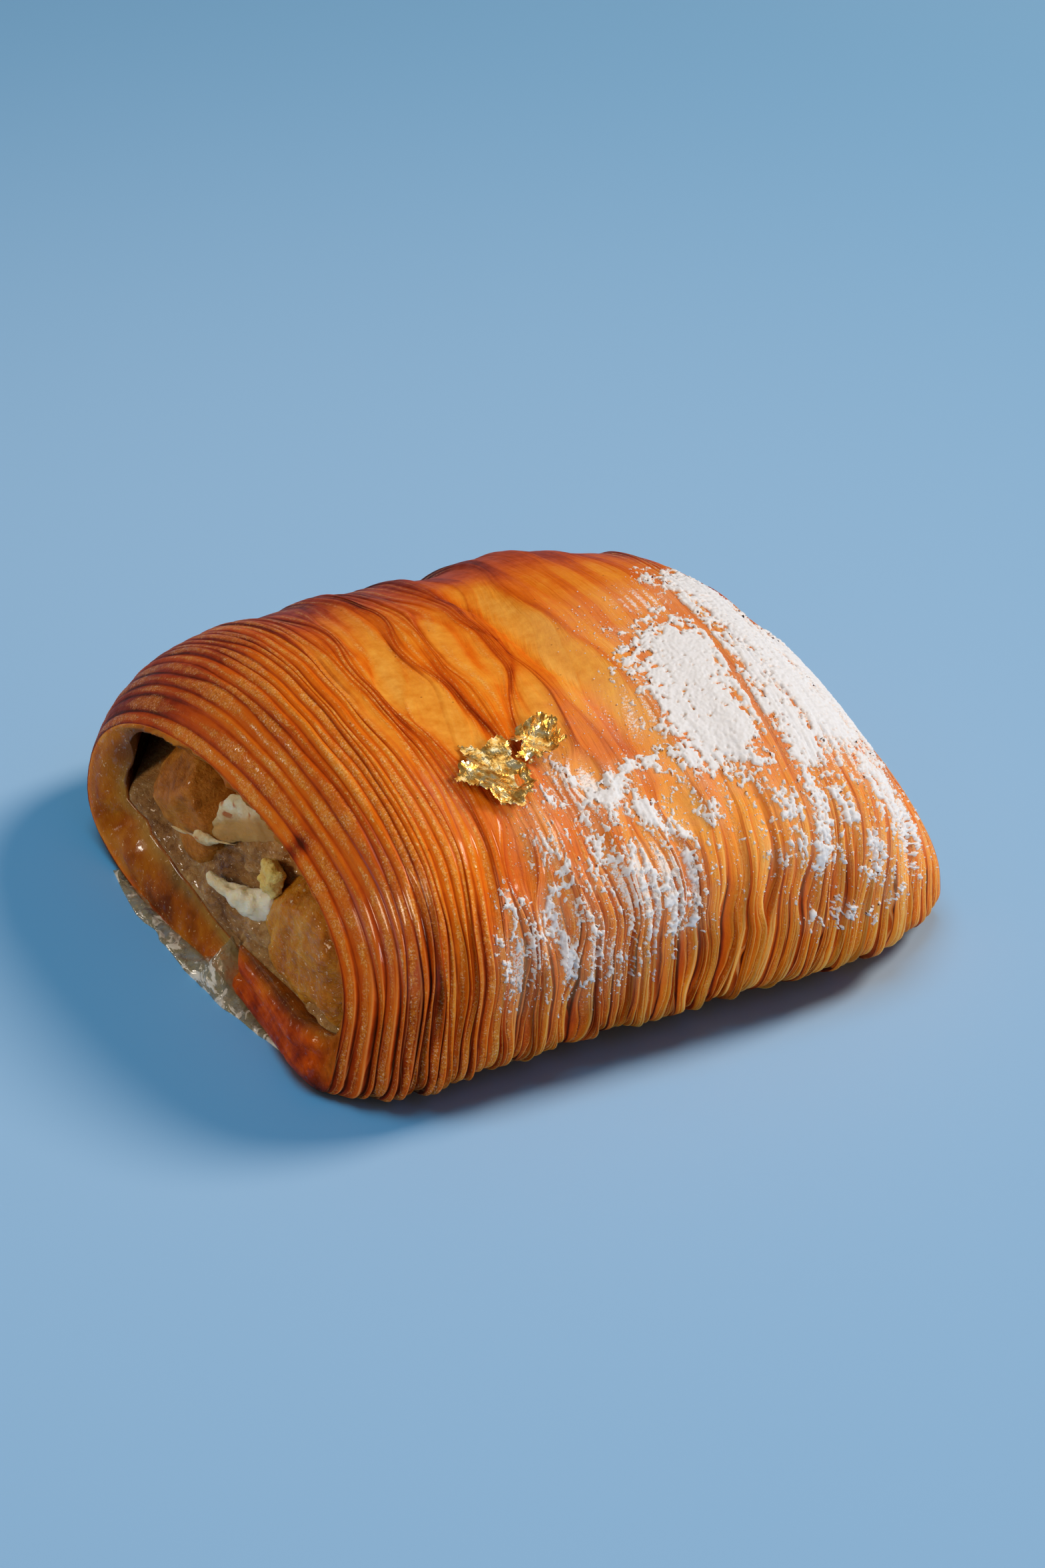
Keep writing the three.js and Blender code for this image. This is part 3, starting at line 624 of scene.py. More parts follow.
crustLook = {
    "bakedAndShaded": [(0.0, (240, 180, 88)), (0.2, (234, 146, 40)), (0.4, (222, 110, 14)),
              (0.6, (194, 78, 8)), (0.8, (146, 47, 5)), (1.0, (78, 23, 3))],
    "porous": [(0.3, (182, 96, 22)), (0.5, (228, 144, 48)), (0.68, (250, 198, 108))],  # layers' cut edges
    "opened": [(0.3, (230, 164, 66)), (0.7, (204, 126, 34))],  # thin dough in the openings
    "dough": [(0.25, (196, 140, 54)), (0.55, (176, 100, 22)), (0.8, (124, 54, 6))],
    "amber": [(0.2, (192, 118, 20)), (0.45, (162, 84, 6)), (0.7, (108, 48, 3))],
    "jelly": [(0.3, (172, 152, 84)), (0.7, (130, 106, 46))],
    # below: a painted highlight for the fins' edges, painted glints for specks and beads, and painted shade
    # for the hollow inside the mouth
    "edge": (250, 188, 114), "sparkle": (255, 226, 188), "paintedGlint": (255, 232, 180), "deep": (116, 66, 24),
    "fleck": (110, 42, 8), "powder": (242, 240, 240), "film": (236, 190, 142),
}


def crustMaterial():
    graph = Graph("bakedCrust")
    flow = graph.attribute("flow", vector=True)
    words = ("banding", "fins", "wet", "opened", "amber", "inner", "tone", "film", "dust")
    banding, fins, wet, opened, amber, inner, tone, film, dust = [graph.attribute(word) for word in words]
    across, up = graph.part(flow, 0), graph.part(flow, 1)
    phase = across.fraction()
    ridge = across - phase
    place = graph.place()
    strands = graph.noise(graph.scaled(flow, (4.5, 0.13, 1)), 1.0, 5, 0.62)
    broad = graph.noise(graph.scaled(flow, (0.3, 0.05, 1)), 1.0, 3, 0.5)
    mottle = graph.noise(place, 0.5, 4, 0.6)
    grain = graph.noise(place, 2.3, 4, 0.75)
    lump = graph.noise(place, 0.22, 4, 0.6)
    wide = graph.noise(graph.vector(ridge * 7.31, up * 0.055, 3), 1.0, 2)
    shift = graph.noise(graph.vector(ridge * 3.17, up * 0.1, 9), 1.0, 1)
    patchy = graph.noise(graph.vector(ridge * 5.7, up * 0.3, 5), 1.0, 2)

    # a pale band along each ridge, and painted shade darkening the grooves between them
    paintedGrooveShade = 1 - (0.5 - abs(phase - 0.5)).above(0.02, 0.17)
    offBand = abs(phase - 0.5 + (shift - 0.5) * 0.5)
    band = ((wide * 1.5 - 0.55) * banding + (grain - 0.5) * 0.7 - offBand).above(-0.14, 0.08)
    band = band * banding.above(0, 0.3) * (0.35 + patchy.above(0.35, 0.6) * 0.65) * (1 - opened)
    bakedAndShaded = tone + (strands - 0.5) * 0.3 + (broad - 0.5) * 0.3 + (mottle - 0.5) * 0.24
    bakedAndShaded = bakedAndShaded + paintedGrooveShade * (0.22 * wide * banding + 0.36 * fins)
    layer = (across * 2.3 + broad * 3).fraction()  # finer layers between the fins' edges
    # painted shade just past each layer's edge, and a painted highlight just before it
    bakedAndShaded = bakedAndShaded + ((1 - layer.above(0, 0.2)) * 0.34 - layer.above(0.66, 0.95) * 0.16) * fins
    # painted highlight lightening the tone near each fin's free edge
    finEdge = abs(phase - 0.84)
    bakedAndShaded = bakedAndShaded - (1 - finEdge.above(0.02, 0.3)) * fins * 0.16
    bakedAndShaded = bakedAndShaded + (lump - 0.5) * amber * 0.9
    shade = graph.ramp(bakedAndShaded, crustLook["bakedAndShaded"])
    shade = graph.mix(band * 0.75, shade, graph.ramp(grain - bakedAndShaded * 0.4 + 0.16, crustLook["porous"]))
    shade = graph.mix(opened * 0.7, shade, graph.ramp(mottle, crustLook["opened"]))
    # painted highlight: pale lines along the fins' and the finer layers' free edges
    fineEdgeHighlight = layer.above(0.8, 0.86) * (1 - layer.above(0.92, 0.97)) * broad.above(0.4, 0.6) * 0.7
    edge = (1 - finEdge.above(0.02, 0.09) + fineEdgeHighlight) * fins * strands.above(0.3, 0.6)
    shade = graph.mix(edge * 0.75, shade, crustLook["edge"])
    # painted glints: pale specks on the bands, which the coat below also makes glossy
    sparkle = graph.noise(place, 3.4, 2, 0.6).above(0.54, 0.68) * band
    shade = graph.mix(sparkle * 0.55, shade, crustLook["sparkle"])
    cells = graph.node("ShaderNodeTexVoronoi", {"feature": "F1"}, {"Vector": place, "Scale": 0.3})
    shade = graph.mix((1 - cells.above(0.03, 0.06)) * 0.6, shade, crustLook["fleck"])

    # the dough inside the mouths
    rimBake = lump + tone - 0.45
    dough = graph.ramp(rimBake, crustLook["dough"])
    lining = graph.mix(amber, dough, graph.ramp(rimBake, crustLook["amber"]))
    lining = graph.mix(graph.attribute("jelly"), lining, graph.ramp(lump, crustLook["jelly"]))
    # painted shade: darker dough in the mouth's hollow and on the wall's inner back
    lining = graph.mix(graph.attribute("deep"), lining, crustLook["deep"])
    shade = graph.mix(inner, shade, lining)
    glints = graph.noise(place, 0.8, 4, 0.7, 0.6).above(0.56, 0.64) * amber
    # painted glints: small bright specks on the amber dough of the lips
    paintedGlints = graph.noise(place, 1.5, 3, 0.65, 0.6).above(0.64, 0.68) * inner * amber
    shade = graph.mix(paintedGlints * 0.5, shade, crustLook["paintedGlint"])

    # sugar too thin for the coat's own piece
    shade = graph.mix(film * (0.6 + (mottle - 0.5) * 1.6), shade, crustLook["film"])
    white = (graph.noise(place, 2.6, 5, 0.8) + dust - 1.0).above(0.02, 0.14)
    shade = graph.mix(white * 0.85, shade, crustLook["powder"])

    roughness = 0.46 - glints * 0.2 - wet * 0.32 + (mottle - 0.5) * 0.2 + white * 0.3 - sparkle * 0.18
    coat = (wet * 0.9 + sparkle * 0.6 + glints * 0.8) * (1 - white)
    blister = graph.bump(graph.noise(place, 1.3, 4, 0.6) * (1 + wet * 2.5), 0.2, 0.0004)
    stranded = graph.bump(strands * (1 - opened * 0.8) + layer * fins * 1.1, 0.55, 0.0005, blister)
    porous = graph.bump(grain * (0.3 + band), 0.55, 0.0003, stranded)
    return graph.finish(
        shade, roughness, porous, coat, Coat_Roughness=0.1, Subsurface_Weight=0.12,
        Subsurface_Radius=(1.0, 0.35, 0.08), Subsurface_Scale=0.0015, Specular_IOR_Level=0.07,
        Specular_Tint=(1, 0.7, 0.4, 1))


# Icing sugar: strokes of powder as places (along, arc), and thin dust
Stroke = namedtuple("Stroke", "radius most line")
sugarStrokes = [
    Stroke(8.9, 1.5, [(21, 52), (18, 43), (17, 33)]), Stroke(3.6, 1.0, [(30, 50), (30.5, 38), (31, 27)]),
    Stroke(8.2, 1.4, [(34.5, 70), (35, 60), (36.2, 48), (39, 34)]), Stroke(8, 1.3, [(48, 60), (50, 40)]),
    Stroke(3.4, 1.0, [(26.9, 56), (26.6, 46), (26.2, 36)]), Stroke(4, 0.9, [(42, 24), (47, 14)]),
    Stroke(2.0, 0.9, [(28.4, 37), (29, 30), (28, 22), (27.5, 11)]),
    Stroke(2.0, 1.1, [(-6, 28), (-3, 26.5), (1.5, 31.5), (5.2, 31)]),
    Stroke(1.4, 1.1, [(-9.5, 36.5), (-8, 32), (-4.2, 28), (-4, 23)]),
    Stroke(1.2, 1.0, [(-12.5, 29.5), (-12, 28.6)]), Stroke(2.0, 1.1, [(0, 25), (2.3, 21.5)]),
    Stroke(1.3, 0.9, [(-4, 15.5), (-1, 15), (1, 11), (1.4, 5)]),
    Stroke(1.2, 1.1, [(5.5, 19), (5.3, 14), (4.5, 6)]),
    Stroke(1.0, 1.0, [(-8, 25.5), (-8, 19), (-6.2, 17)]), Stroke(0.9, 1.0, [(-26.5, 16), (-24.6, 13)]),
    Stroke(0.8, 0.9, [(-23, 14.5), (-22.6, 8)]), Stroke(0.9, 1.0, [(-29.2, 11), (-27.8, 6), (-27, 3)]),
    Stroke(0.8, 0.9, [(-20.5, 13), (-20.2, 8)]), Stroke(0.9, 0.9, [(-13.5, 14), (-12.2, 9.5), (-11, 5)]),
    Stroke(1.3, 1.1, [(-17.8, 15.5), (-18, 11.5), (-16.5, 6), (-16.3, 3)]),
    Stroke(1.0, 1.1, [(-15.8, 22), (-13.5, 16), (-9.5, 15)]), Stroke(1.1, 1.0, [(-11, 18), (-9, 15.5)]),
    Stroke(0.9, 1.1, [(-8, 21), (-6.8, 17)]), Stroke(0.9, 1.0, [(-3.4, 18.5), (-3, 14)]),
    Stroke(0.9, 0.9, [(-4.2, 13.6), (-1.5, 12.8), (1.5, 14)]), Stroke(1.1, 1.1, [(14.2, 58.4), (14.6, 58)]),
    Stroke(1.0, 1.0, [(22, 63.2), (22.5, 63)]), Stroke(1.3, 1.1, [(10.8, 21.6), (11, 20.4)]),
    Stroke(1.0, 0.9, [(22.8, 15.2), (22.4, 13)]), Stroke(1.6, 0.9, [(33, 20), (33.6, 17)]),
    Stroke(0.9, 0.9, [(18.4, 12.5), (20, 11.6)]), Stroke(1.8, 1.0, [(22, 22), (22.6, 18.5)]),
    Stroke(1.6, 0.7, [(37, 12), (36, 6)]), Stroke(0.9, 0.8, [(39.8, 4.4), (39, 2)]),
    Stroke(0.8, 0.9, [(23.5, 1), (24.5, 0)]), Stroke(1.0, 0.8, [(30, 1.4), (30.4, 0)]),
    Stroke(0.8, 0.8, [(34.2, 0.6), (34.6, -1)]),
]
fullStroke = 2.2  # a stroke of a smaller radius is thinner powder
sugarHaze = [  # thin dust: along, arc, half length, half arc, amount
    (-14, 9, 10, 8, 0.62), (-24, 6, 5, 7, 0.75), (-1, 12, 8, 8, 0.88), (8, 24, 8, 9, 0.5),
    (28, 14, 14, 9, 0.5), (42, 12, 9, 10, 0.5), (20, 36, 9, 18, 0.45), (40, 40, 12, 22, 0.7),
    (-8, 27, 6, 6, 0.5), (12, 62, 7, 8, 0.5), (5, 41, 8, 8, 0.6), (-6, 30, 7, 7, 0.7),
    (-11, 4, 10, 6, 0.7), (20, 67, 6, 5, 0.7), (-17, 25, 4, 6, 0.7),
]


def strokeAmount(along, arc):  # 1 deep inside a stroke, 0 at its edge, below outside
    amount = np.full(np.broadcast(along, arc).shape, -3.0)
    for stroke in sugarStrokes:
        strength = stroke.most * min(stroke.radius, fullStroke) / fullStroke
        for (u0, v0), (u1, v1) in zip(stroke.line, stroke.line[1:]):
            length = (u1 - u0) ** 2 + (v1 - v0) ** 2
            share = np.clip(((along - u0) * (u1 - u0) + (arc - v0) * (v1 - v0)) / length, 0, 1)
            away = np.hypot(along - u0 - share * (u1 - u0), arc - v0 - share * (v1 - v0))
            amount = np.maximum(amount, strength * (1 - away / stroke.radius))
    return amount


def hazeAmount(along, arc):
    amount = np.zeros(np.broadcast(along, arc).shape)
    for middle, height, halfLength, halfArc, most in sugarHaze:
        away = ((along - middle) / halfLength) ** 2 + ((arc - height) / halfArc) ** 2
        amount = np.maximum(amount, most * np.exp(-0.5 * away ** 1.5))
    return amount


bake = {  # how dark the crust is baked, with the weight of paleness and of painted crease shade, and its spots: along, arc, half length, half arc, amount
    "plain": 0.395, "left": 0.01, "front": -0.06, "patch": -0.08, "right": 0.05, "back": 0.12, "pale": -0.22,
    "spots": [(-49, 22, 3.4, 12, 0.11), (-54.2, 40.8, 1.1, 1.5, 0.5)],
}
wetSpots = [(-46.4, 22, 3.6, 9, 1.5), (-31, 34, 4, 8, 0.8), (-20, 24, 7, 7, 0.7)]


def bakedAndShadedTone():
    zones = {"left": left, "front": front, "patch": patch, "right": right, "back": back}
    tone = bake["plain"] + sum(bake[word] * share for word, share in zones.items())
    tone = tone + (0.07 + 0.06 * left) * smooth(20, -20, arcGrid) + 0.05 * smooth(60, 90, arcGrid)
    tone += 0.12 * smooth(78, 100, arcGrid) * (1 - left) + 0.18 * smooth(80, 94, arcGrid)
    # the paleness also carries the painted shade of creases and of the openings' outlines
    tone += bake["pale"] * np.clip(pale, -1.9, 1.2)
    tone += 0.14 * np.clip(1 - stretch, -0.6, 0.8) * (1 - left) * (1 - 0.5 * front)
    # painted shade darkening the grooves between the ridges
    tone += (0.06 + 0.22 * front + 0.06 * left) * (1 - profile) * (1 - patch)
    tone -= 0.15 * smooth(-10, 3, places) * smooth(32, 18, arcGrid)
    tone += 0.09 * smooth(-42, -48, places) * smooth(8, -4, arcGrid)
    for *where, amount in bake["spots"]:
        tone += amount * spot(*where)
    return tone + 0.1 * field(number * 5.3, arcGrid * 0.02, seed=33) + 0.1 * tGrid ** 16


def wetness():
    wet = np.max([amount * spot(*where) for *where, amount in wetSpots], axis=0)
    ragged = 0.5 * field(number * 2.7, arcGrid * 0.12, seed=44, octaves=2)
    return np.clip(1.3 * wet - 0.25 + ragged * (0.3 + wet), 0, 1)


def rimNumbers(side, share):  # what the shader is told on one ring of a lip
    fold, thick, base = lipParts(side, share)
    y = edgeOf(side)[:, 1]
    amber = np.clip(fold + thick + base, 0, 1)
    jelly = 1.4 * smooth(0.1, -0.5, sines) * hill((y + 12 + 4 * share) / 4.4) + 0.6 * smooth(0.7, 1, share)
    tone = smooth(0.2, -0.4, sines) * (0.19 * hill((y - 11) / 5) - 0.16 * hill((y - 1) / 4))
    tone = 0.45 + tone - 0.2 * hill((y - 34) / 12) + fold * (0.44 - 0.46 * share + 0.12 * hill((y + 45) / 5))
    # painted shade on the inner half of the left wall's upper back, by the hollow
    shaded = smooth(-0.05, -0.4, cosines) * smooth(-0.05, 0.4, sines) * smooth(0.25, 0.75, share)
    return {
        "tone": tone, "wet": 0.05, "amber": amber,
        "inner": smooth(0.0, 0.2, share) * (1 - fold * smooth(1.0, 0.8, share)),
        "jelly": (side < 0) * amber * (1 - fold) * np.clip(jelly, 0, 1),  # wells up beside the fold
        "deep": (side < 0) * 0.9 * shaded,
    }


def sharpenFins(mesh):  # crisp light on the layers' free edges at the front
    pairs = np.empty(len(mesh.edges) * 2, np.int32)
    mesh.edges.foreach_get("vertices", pairs)
    column, row = np.divmod(pairs.reshape(-1, 2), len(rowAngles))
    onCrest = (column[:, 0] == column[:, 1]) & (column[:, 0] < len(columnNumbers))
    onCrest &= column[:, 0] % len(ridges["phases"]) == ridges["phases"].index(ridges["crest"])
    onCrest &= (rowArcs[row] < ridges["sharpBelow"]).all(axis=1)
    made = mesh.attributes.new("sharp_edge", "BOOLEAN", "EDGE")
    made.data.foreach_set("value", onCrest)


def makeCrust():
    stations = [1, 0.955, 0.75, 0.3, -0.3, -0.75, -0.955, -1]
    lipsAndBore = [lipRing(1, share) for share in lipShares] + [boreRing(t) for t in stations]
    lipsAndBore += [lipRing(-1, share) for share in lipShares[::-1]]
    rings = list(crustPoints) + lipsAndBore
    faces = gridFaces(len(rings), len(rowAngles), True, True)
    piece = makeMesh("crust", np.array(rings), faces, crustMaterial())
    flow = np.stack(np.broadcast_arrays(columnNumbers[:, None], arcGrid, 0.0), -1).reshape(-1, 3)
    addNumbers(piece, "flow", np.concatenate([flow, np.array(lipsAndBore).reshape(-1, 3)]))
    banding = np.clip(left + 0.6 * right + 0.45 * back + 0.22 * (1 - left) - 0.6 * patch, 0, 1)
    strokes, haze = strokeAmount(places, arcGrid), hazeAmount(places, arcGrid)
    edge = crustPoints[0]
    # painted shade on the bore's lining high up at the back, by the left mouth's hollow
    highBehind = smooth(8, 18, edge[:, 1]) * smooth(9, 15, edge[:, 2])
    numbers = {  # on the crust's skin, and in its bore
        "tone": (np.clip(bakedAndShadedTone(), 0, 1), 0.5),
        "banding": (banding * (1 - 0.35 * front), 0),
        "fins": (front * (1 - 0.6 * left), 0),
        "opened": (np.clip(pale * 1.2, 0, 1), 0),
        "wet": (wetness(), 1),
        "dust": (np.clip(haze + 0.12 * strokes, 0, 0.9) * (0.35 + 0.65 * profile), 0),
        "film": (np.clip(0.26 * smooth(-0.7, 0.1, strokes) + 0.6 * haze, 0, 0.52), 0),
        "inner": (0, 1),
        "amber": (0, 1),
        "jelly": (0, 0),
        "deep": (0, highBehind),
    }
    rightRim = [rimNumbers(1, share) for share in lipShares]
    leftRim = [rimNumbers(-1, share) for share in lipShares[::-1]]
    for word, (skin, bore) in numbers.items():
        inside = [ring.get(word, 0) for ring in rightRim] + [bore] * len(stations)
        inside += [ring.get(word, 0) for ring in leftRim]
        parts = [np.broadcast_to(skin, places.shape).reshape(-1)]
        parts += [np.broadcast_to(value, len(rowAngles)) for value in inside]
        addNumbers(piece, word, np.concatenate(parts))
    sharpenFins(piece.data)
    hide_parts("pastry")
    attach(piece, "root")
    return piece


crust = makeCrust()
print("crust made:", len(crust.data.polygons), "faces")


# Filling at the two mouths
def atMouth(side, depth, y, z):  # a place that far behind the mouth
    end = leftEnd if side < 0 else rightEnd
    x = side * (roll["length"] / 2 - depth) + end["lean"] * z + end["skew"] * y
    return np.array([x + settle[0], y, z])


def keptInBore(points, share=0.97):  # draws what would cross the crust back inside
    t = np.clip(2 * (points[:, 0] - settle[0]) / roll["length"], -1, 1)
    shift = settle[1] + roll["backShift"] * t * t
    y = points[:, 1] - shift
    middle = boreRoom(t, True, True)[0]
    z = points[:, 2] - middle
    _, side, rise, power = boreRoom(t, y < 0, z > 0)
    reach = (np.abs(y / side) ** power + np.abs(z / rise) ** power) ** (1 / power)
    shrink = np.where(reach > share, share / np.maximum(reach, 1e-6), 1)
    return np.stack([points[:, 0], y * shrink + shift, z * shrink + middle], -1)


def ballOf(detail):
    ball = bmesh.new()
    bmesh.ops.create_icosphere(ball, subdivisions=detail, radius=1)
    points = np.array([vertex.co[:] for vertex in ball.verts])
    faces = np.array([[vertex.index for vertex in face.verts] for face in ball.faces])
    ball.free()
    return points, faces


balls = {detail: ballOf(detail) for detail in (5, 6)}


def makeLump(settings, material):
    points, faces = balls[settings.get("detail", 5)]
    seed, radii = settings["seed"], np.array(settings["radii"])
    draw = np.random.RandomState(seed)
    shape = points / np.linalg.norm(points, ord=settings["square"], axis=1, keepdims=True)
    for _ in range(settings.get("cuts", 0)):  # flat cut faces
        way = draw.normal(size=3)
        way /= np.linalg.norm(way)
        over = np.maximum(shape @ way - draw.uniform(0.72, 0.9), 0)
        shape = shape - over[:, None] * way * 0.85
    place = shape * radii
    for size, depth in settings["rough"]:  # lumps: their size and depth in millimetres
        bumps = field(*(place / size).T, seed=seed + int(size * 10), octaves=2)
        place = place + points * (depth * bumps)[:, None] * np.array([settings.get("flat", 1), 1, 1])
    x, y, z = place.T
    z = z * (1 + settings.get("taper", 0) * y / radii[1])
    y, z = turned(y, z, settings["turn"])
    x, y = turned(x, y, settings.get("yaw", 0))
    z = z + settings.get("bend", 0) * (y / radii[1]) ** 2
    place = keptInBore(np.stack([x, y, z], -1) + atMouth(settings["side"], *settings["at"]))
    piece = makeMesh(settings["name"], place, faces, material)
    tanned = settings.get("tanned", 0) * smooth(0.7, 0.2, shape[:, 2] - 0.5 * shape[:, 1])
    addNumbers(piece, "deep", tanned)
    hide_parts(settings["node"])
    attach(piece, "root")


# a colour for painted glints on the fruit and paste
paintedGlintColour = (255, 240, 206)


def fruitMaterial(name, stops, gloss, grain=1.0, soft=0.35, pitted=0.7, spots=None, deep=None, paintedGlints=0):
    graph = Graph(name)
    place = graph.place()
    broad = graph.noise(place, 0.12, 3, 0.55)
    fine = graph.noise(place, 0.7 * grain, 5, 0.65)
    shade = graph.ramp((broad - 0.5) * 0.9 + (fine - 0.5) * 0.8 + 0.5, stops)
    if spots:
        dots = graph.noise(place, 0.34, 2, 0.5, 0.6).above(0.62, 0.7)
        shade = graph.mix(dots * 0.85, shade, spots)
    if deep:
        shade = graph.mix(graph.attribute("deep"), shade, deep)
    if paintedGlints:  # painted glints: tiny bright specks mixed into the colour
        bright = graph.noise(graph.scaled(place, (1, 0.7, 1.4)), 1.7, 3, 0.65, 0.5).above(0.63, 0.67)
        shade = graph.mix(bright * paintedGlints, shade, paintedGlintColour)
    wet = graph.noise(graph.scaled(place, (1, 0.6, 1.6)), 1.5 * grain, 3, 0.6, 0.8)
    roughness = 0.2 + (1 - gloss) * 0.3 + (fine - 0.5) * 0.3
    coarse = graph.bump(fine, 0.6, 0.0008)
    glisten = graph.bump(wet, pitted, 0.0007, coarse)
    return graph.finish(
        shade, roughness, glisten, wet.above(0.5, 0.6) * gloss, Coat_Roughness=0.05, Subsurface_Weight=soft,
        Subsurface_Radius=(1.0, 0.55, 0.2), Subsurface_Scale=0.003, Specular_IOR_Level=0.1)


fruitLooks = {  # stops: three colours from the palest to the darkest
    "roast": {"name": "roastFruit", "gloss": 0.2,
              "stops": [(0.2, (218, 150, 62)), (0.5, (192, 118, 36)), (0.8, (136, 74, 16))]},
    "stewed": {"name": "stewedFruit", "gloss": 0.6, "grain": 0.7, "soft": 0.6, "paintedGlints": 0.6,
               "stops": [(0.2, (220, 160, 58)), (0.5, (196, 122, 26)), (0.8, (150, 78, 8))]},
    "bit": {"name": "fruitBit", "gloss": 0.4,
            "stops": [(0.2, (255, 238, 166)), (0.5, (252, 216, 124)), (0.8, (214, 158, 72))]},
    "cream": {"name": "cream", "gloss": 0.3, "grain": 0.8, "soft": 0.4, "pitted": 0.4,
              "stops": [(0.2, (255, 252, 234)), (0.5, (251, 241, 210)), (0.85, (232, 202, 148))]},
    "shred": {"name": "fruitShred", "gloss": 0.2, "grain": 0.6, "soft": 0.4, "pitted": 0.4,
              "spots": (190, 92, 20), "deep": (206, 156, 88),
              "stops": [(0.3, (255, 248, 226)), (0.5, (238, 214, 168)), (0.75, (206, 150, 76))]},
    "paste": {"name": "fruitPaste", "gloss": 0.6, "deep": (214, 146, 74), "paintedGlints": 0.55,
              "stops": [(0.2, (210, 174, 116)), (0.5, (164, 122, 72)), (0.8, (100, 62, 32))]},
}
fruitMaterials = {word: fruitMaterial(**look) for word, look in fruitLooks.items()}

lumps = [  # at: depth behind the mouth, y and z. rough: sizes and depths of its bumps
    {"name": "roastFruitLeft", "node": "roast_fruit_left", "slot": "roast_fruit", "look": "roast",
     "side": -1, "at": (7.6, 12.6, 18.4), "radii": (8.3, 10.6, 9.0), "turn": 0.3, "seed": 3, "cuts": 3,
     "square": 2.7, "rough": [(6, 1.0), (1.6, 0.28)]},
    {"name": "stewedFruitLeft", "node": "stewed_fruit_left", "slot": "stewed_fruit", "look": "stewed",
     "side": -1, "at": (7.8, -26.6, 13.2), "radii": (8.8, 14.6, 10.4), "turn": -0.35, "seed": 7, "cuts": 6,
     "square": 2.7, "rough": [(7, 1.1), (2.2, 0.35)], "detail": 6},
    {"name": "creamDollopLeft", "node": "cream_dollop_left", "slot": "cream", "look": "cream",
     "side": -1, "at": (2.4, -8.8, 13.6), "radii": (1.5, 8.0, 2.3), "turn": -0.12, "yaw": 0.38, "seed": 11,
     "square": 2, "rough": [(4, 1.9), (1.6, 0.5)], "detail": 6, "taper": -0.3, "flat": 0.4, "bend": 1.0},
    {"name": "creamShredUpper", "node": "cream_shred_upper_left", "slot": "cream", "look": "shred",
     "side": -1, "at": (3.6, -2, 22.2), "radii": (0.9, 10.6, 3.6), "turn": -0.5, "yaw": 0.55, "seed": 5,
     "square": 1.8, "rough": [(5, 1.6), (1.6, 0.3)], "detail": 6, "taper": -0.72, "flat": 0.4, "bend": -0.8,
     "tanned": 0.95},
    {"name": "creamShredLower", "node": "cream_shred_lower_left", "slot": "cream", "look": "shred",
     "side": -1, "at": (1.5, 3, 17.6), "radii": (0.6, 8.0, 0.9), "turn": -0.2, "yaw": 0.45, "seed": 6,
     "square": 1.5, "rough": [(4, 0.7), (1.6, 0.2)], "detail": 6, "taper": 0.3, "flat": 0.4, "bend": 0.8},
    {"name": "fruitBitLeft", "node": "fruit_bit_left", "slot": "stewed_fruit", "look": "bit",
     "side": -1, "at": (3.4, -14.4, 19.6), "radii": (1.6, 2.8, 3.0), "turn": 0.5, "seed": 9, "cuts": 6,
     "square": 3, "rough": [(3, 0.9), (1.2, 0.4)]},
    {"name": "roastFruitRight", "node": "roast_fruit_right", "slot": "roast_fruit", "look": "roast",
     "side": 1, "at": (9, -12, 9), "radii": (6.8, 8.8, 4.6), "turn": 0.1, "seed": 13, "cuts": 9,
     "square": 3, "rough": [(5, 0.6), (1.5, 0.2)]},
    {"name": "stewedFruitRight", "node": "stewed_fruit_right", "slot": "stewed_fruit", "look": "stewed",
     "side": 1, "at": (9, 14, 9.5), "radii": (6.8, 9.8, 4.6), "turn": 0.15, "seed": 17, "cuts": 10,
     "square": 3, "rough": [(5, 0.6), (1.8, 0.25)]},
]
for settings in lumps:
    makeLump(settings, fruitMaterials[settings["look"]])
print("fruit and cream made:", len(lumps))


pasteFace = {"rings": 44, "edge": 0.999, "edgeShrink": -0.15, "recess": 0.1, "tilt": 0.26, "seed": 31,
             "stations": (0.75, 0.3, -0.3, -0.75), "shrink": 0.25,
             "lumps": [(7, 1.0), (2.4, 0.5), (0.9, 0.2)],
             "slumps": [{"depth": 9.5, "across": 29, "halfAcross": 12, "from": 11.5, "to": 21},
                        {"depth": 2.6, "across": -28, "halfAcross": 8, "from": 3, "to": 9}]}


def faceRings(side):  # the paste's end from its edge in, and how deep it lies
    edge = boreRing(side * pasteFace["edge"], pasteFace["edgeShrink"])
    middle = edge.mean(axis=0)
    rings, depths = [], []
    for share in np.linspace(1, 0.02, pasteFace["rings"]):
        ring = middle + (edge - middle) * share
        y, z = ring[:, 1], ring[:, 2]
        depth = pasteFace["recess"] * smooth(1, 0.8, share)
        depth = depth + pasteFace["tilt"] * np.maximum(0, z - 7) * smooth(1, 0.85, share)
        for size, most in pasteFace["lumps"]:
            bumps = field(y / size, z / size * 1.5, 0, seed=pasteFace["seed"] + side, octaves=2)
            depth = depth - most * bumps * smooth(1.0, 0.9, share)
        for slump in pasteFace["slumps"] if side < 0 else []:
            across = hill((y - slump["across"]) / slump["halfAcross"])
            depth = depth + slump["depth"] * across * smooth(slump["from"], slump["to"], z)
        ring[:, 0] -= side * depth
        rings.append(ring)
        depths.append(depth)
    return rings, depths


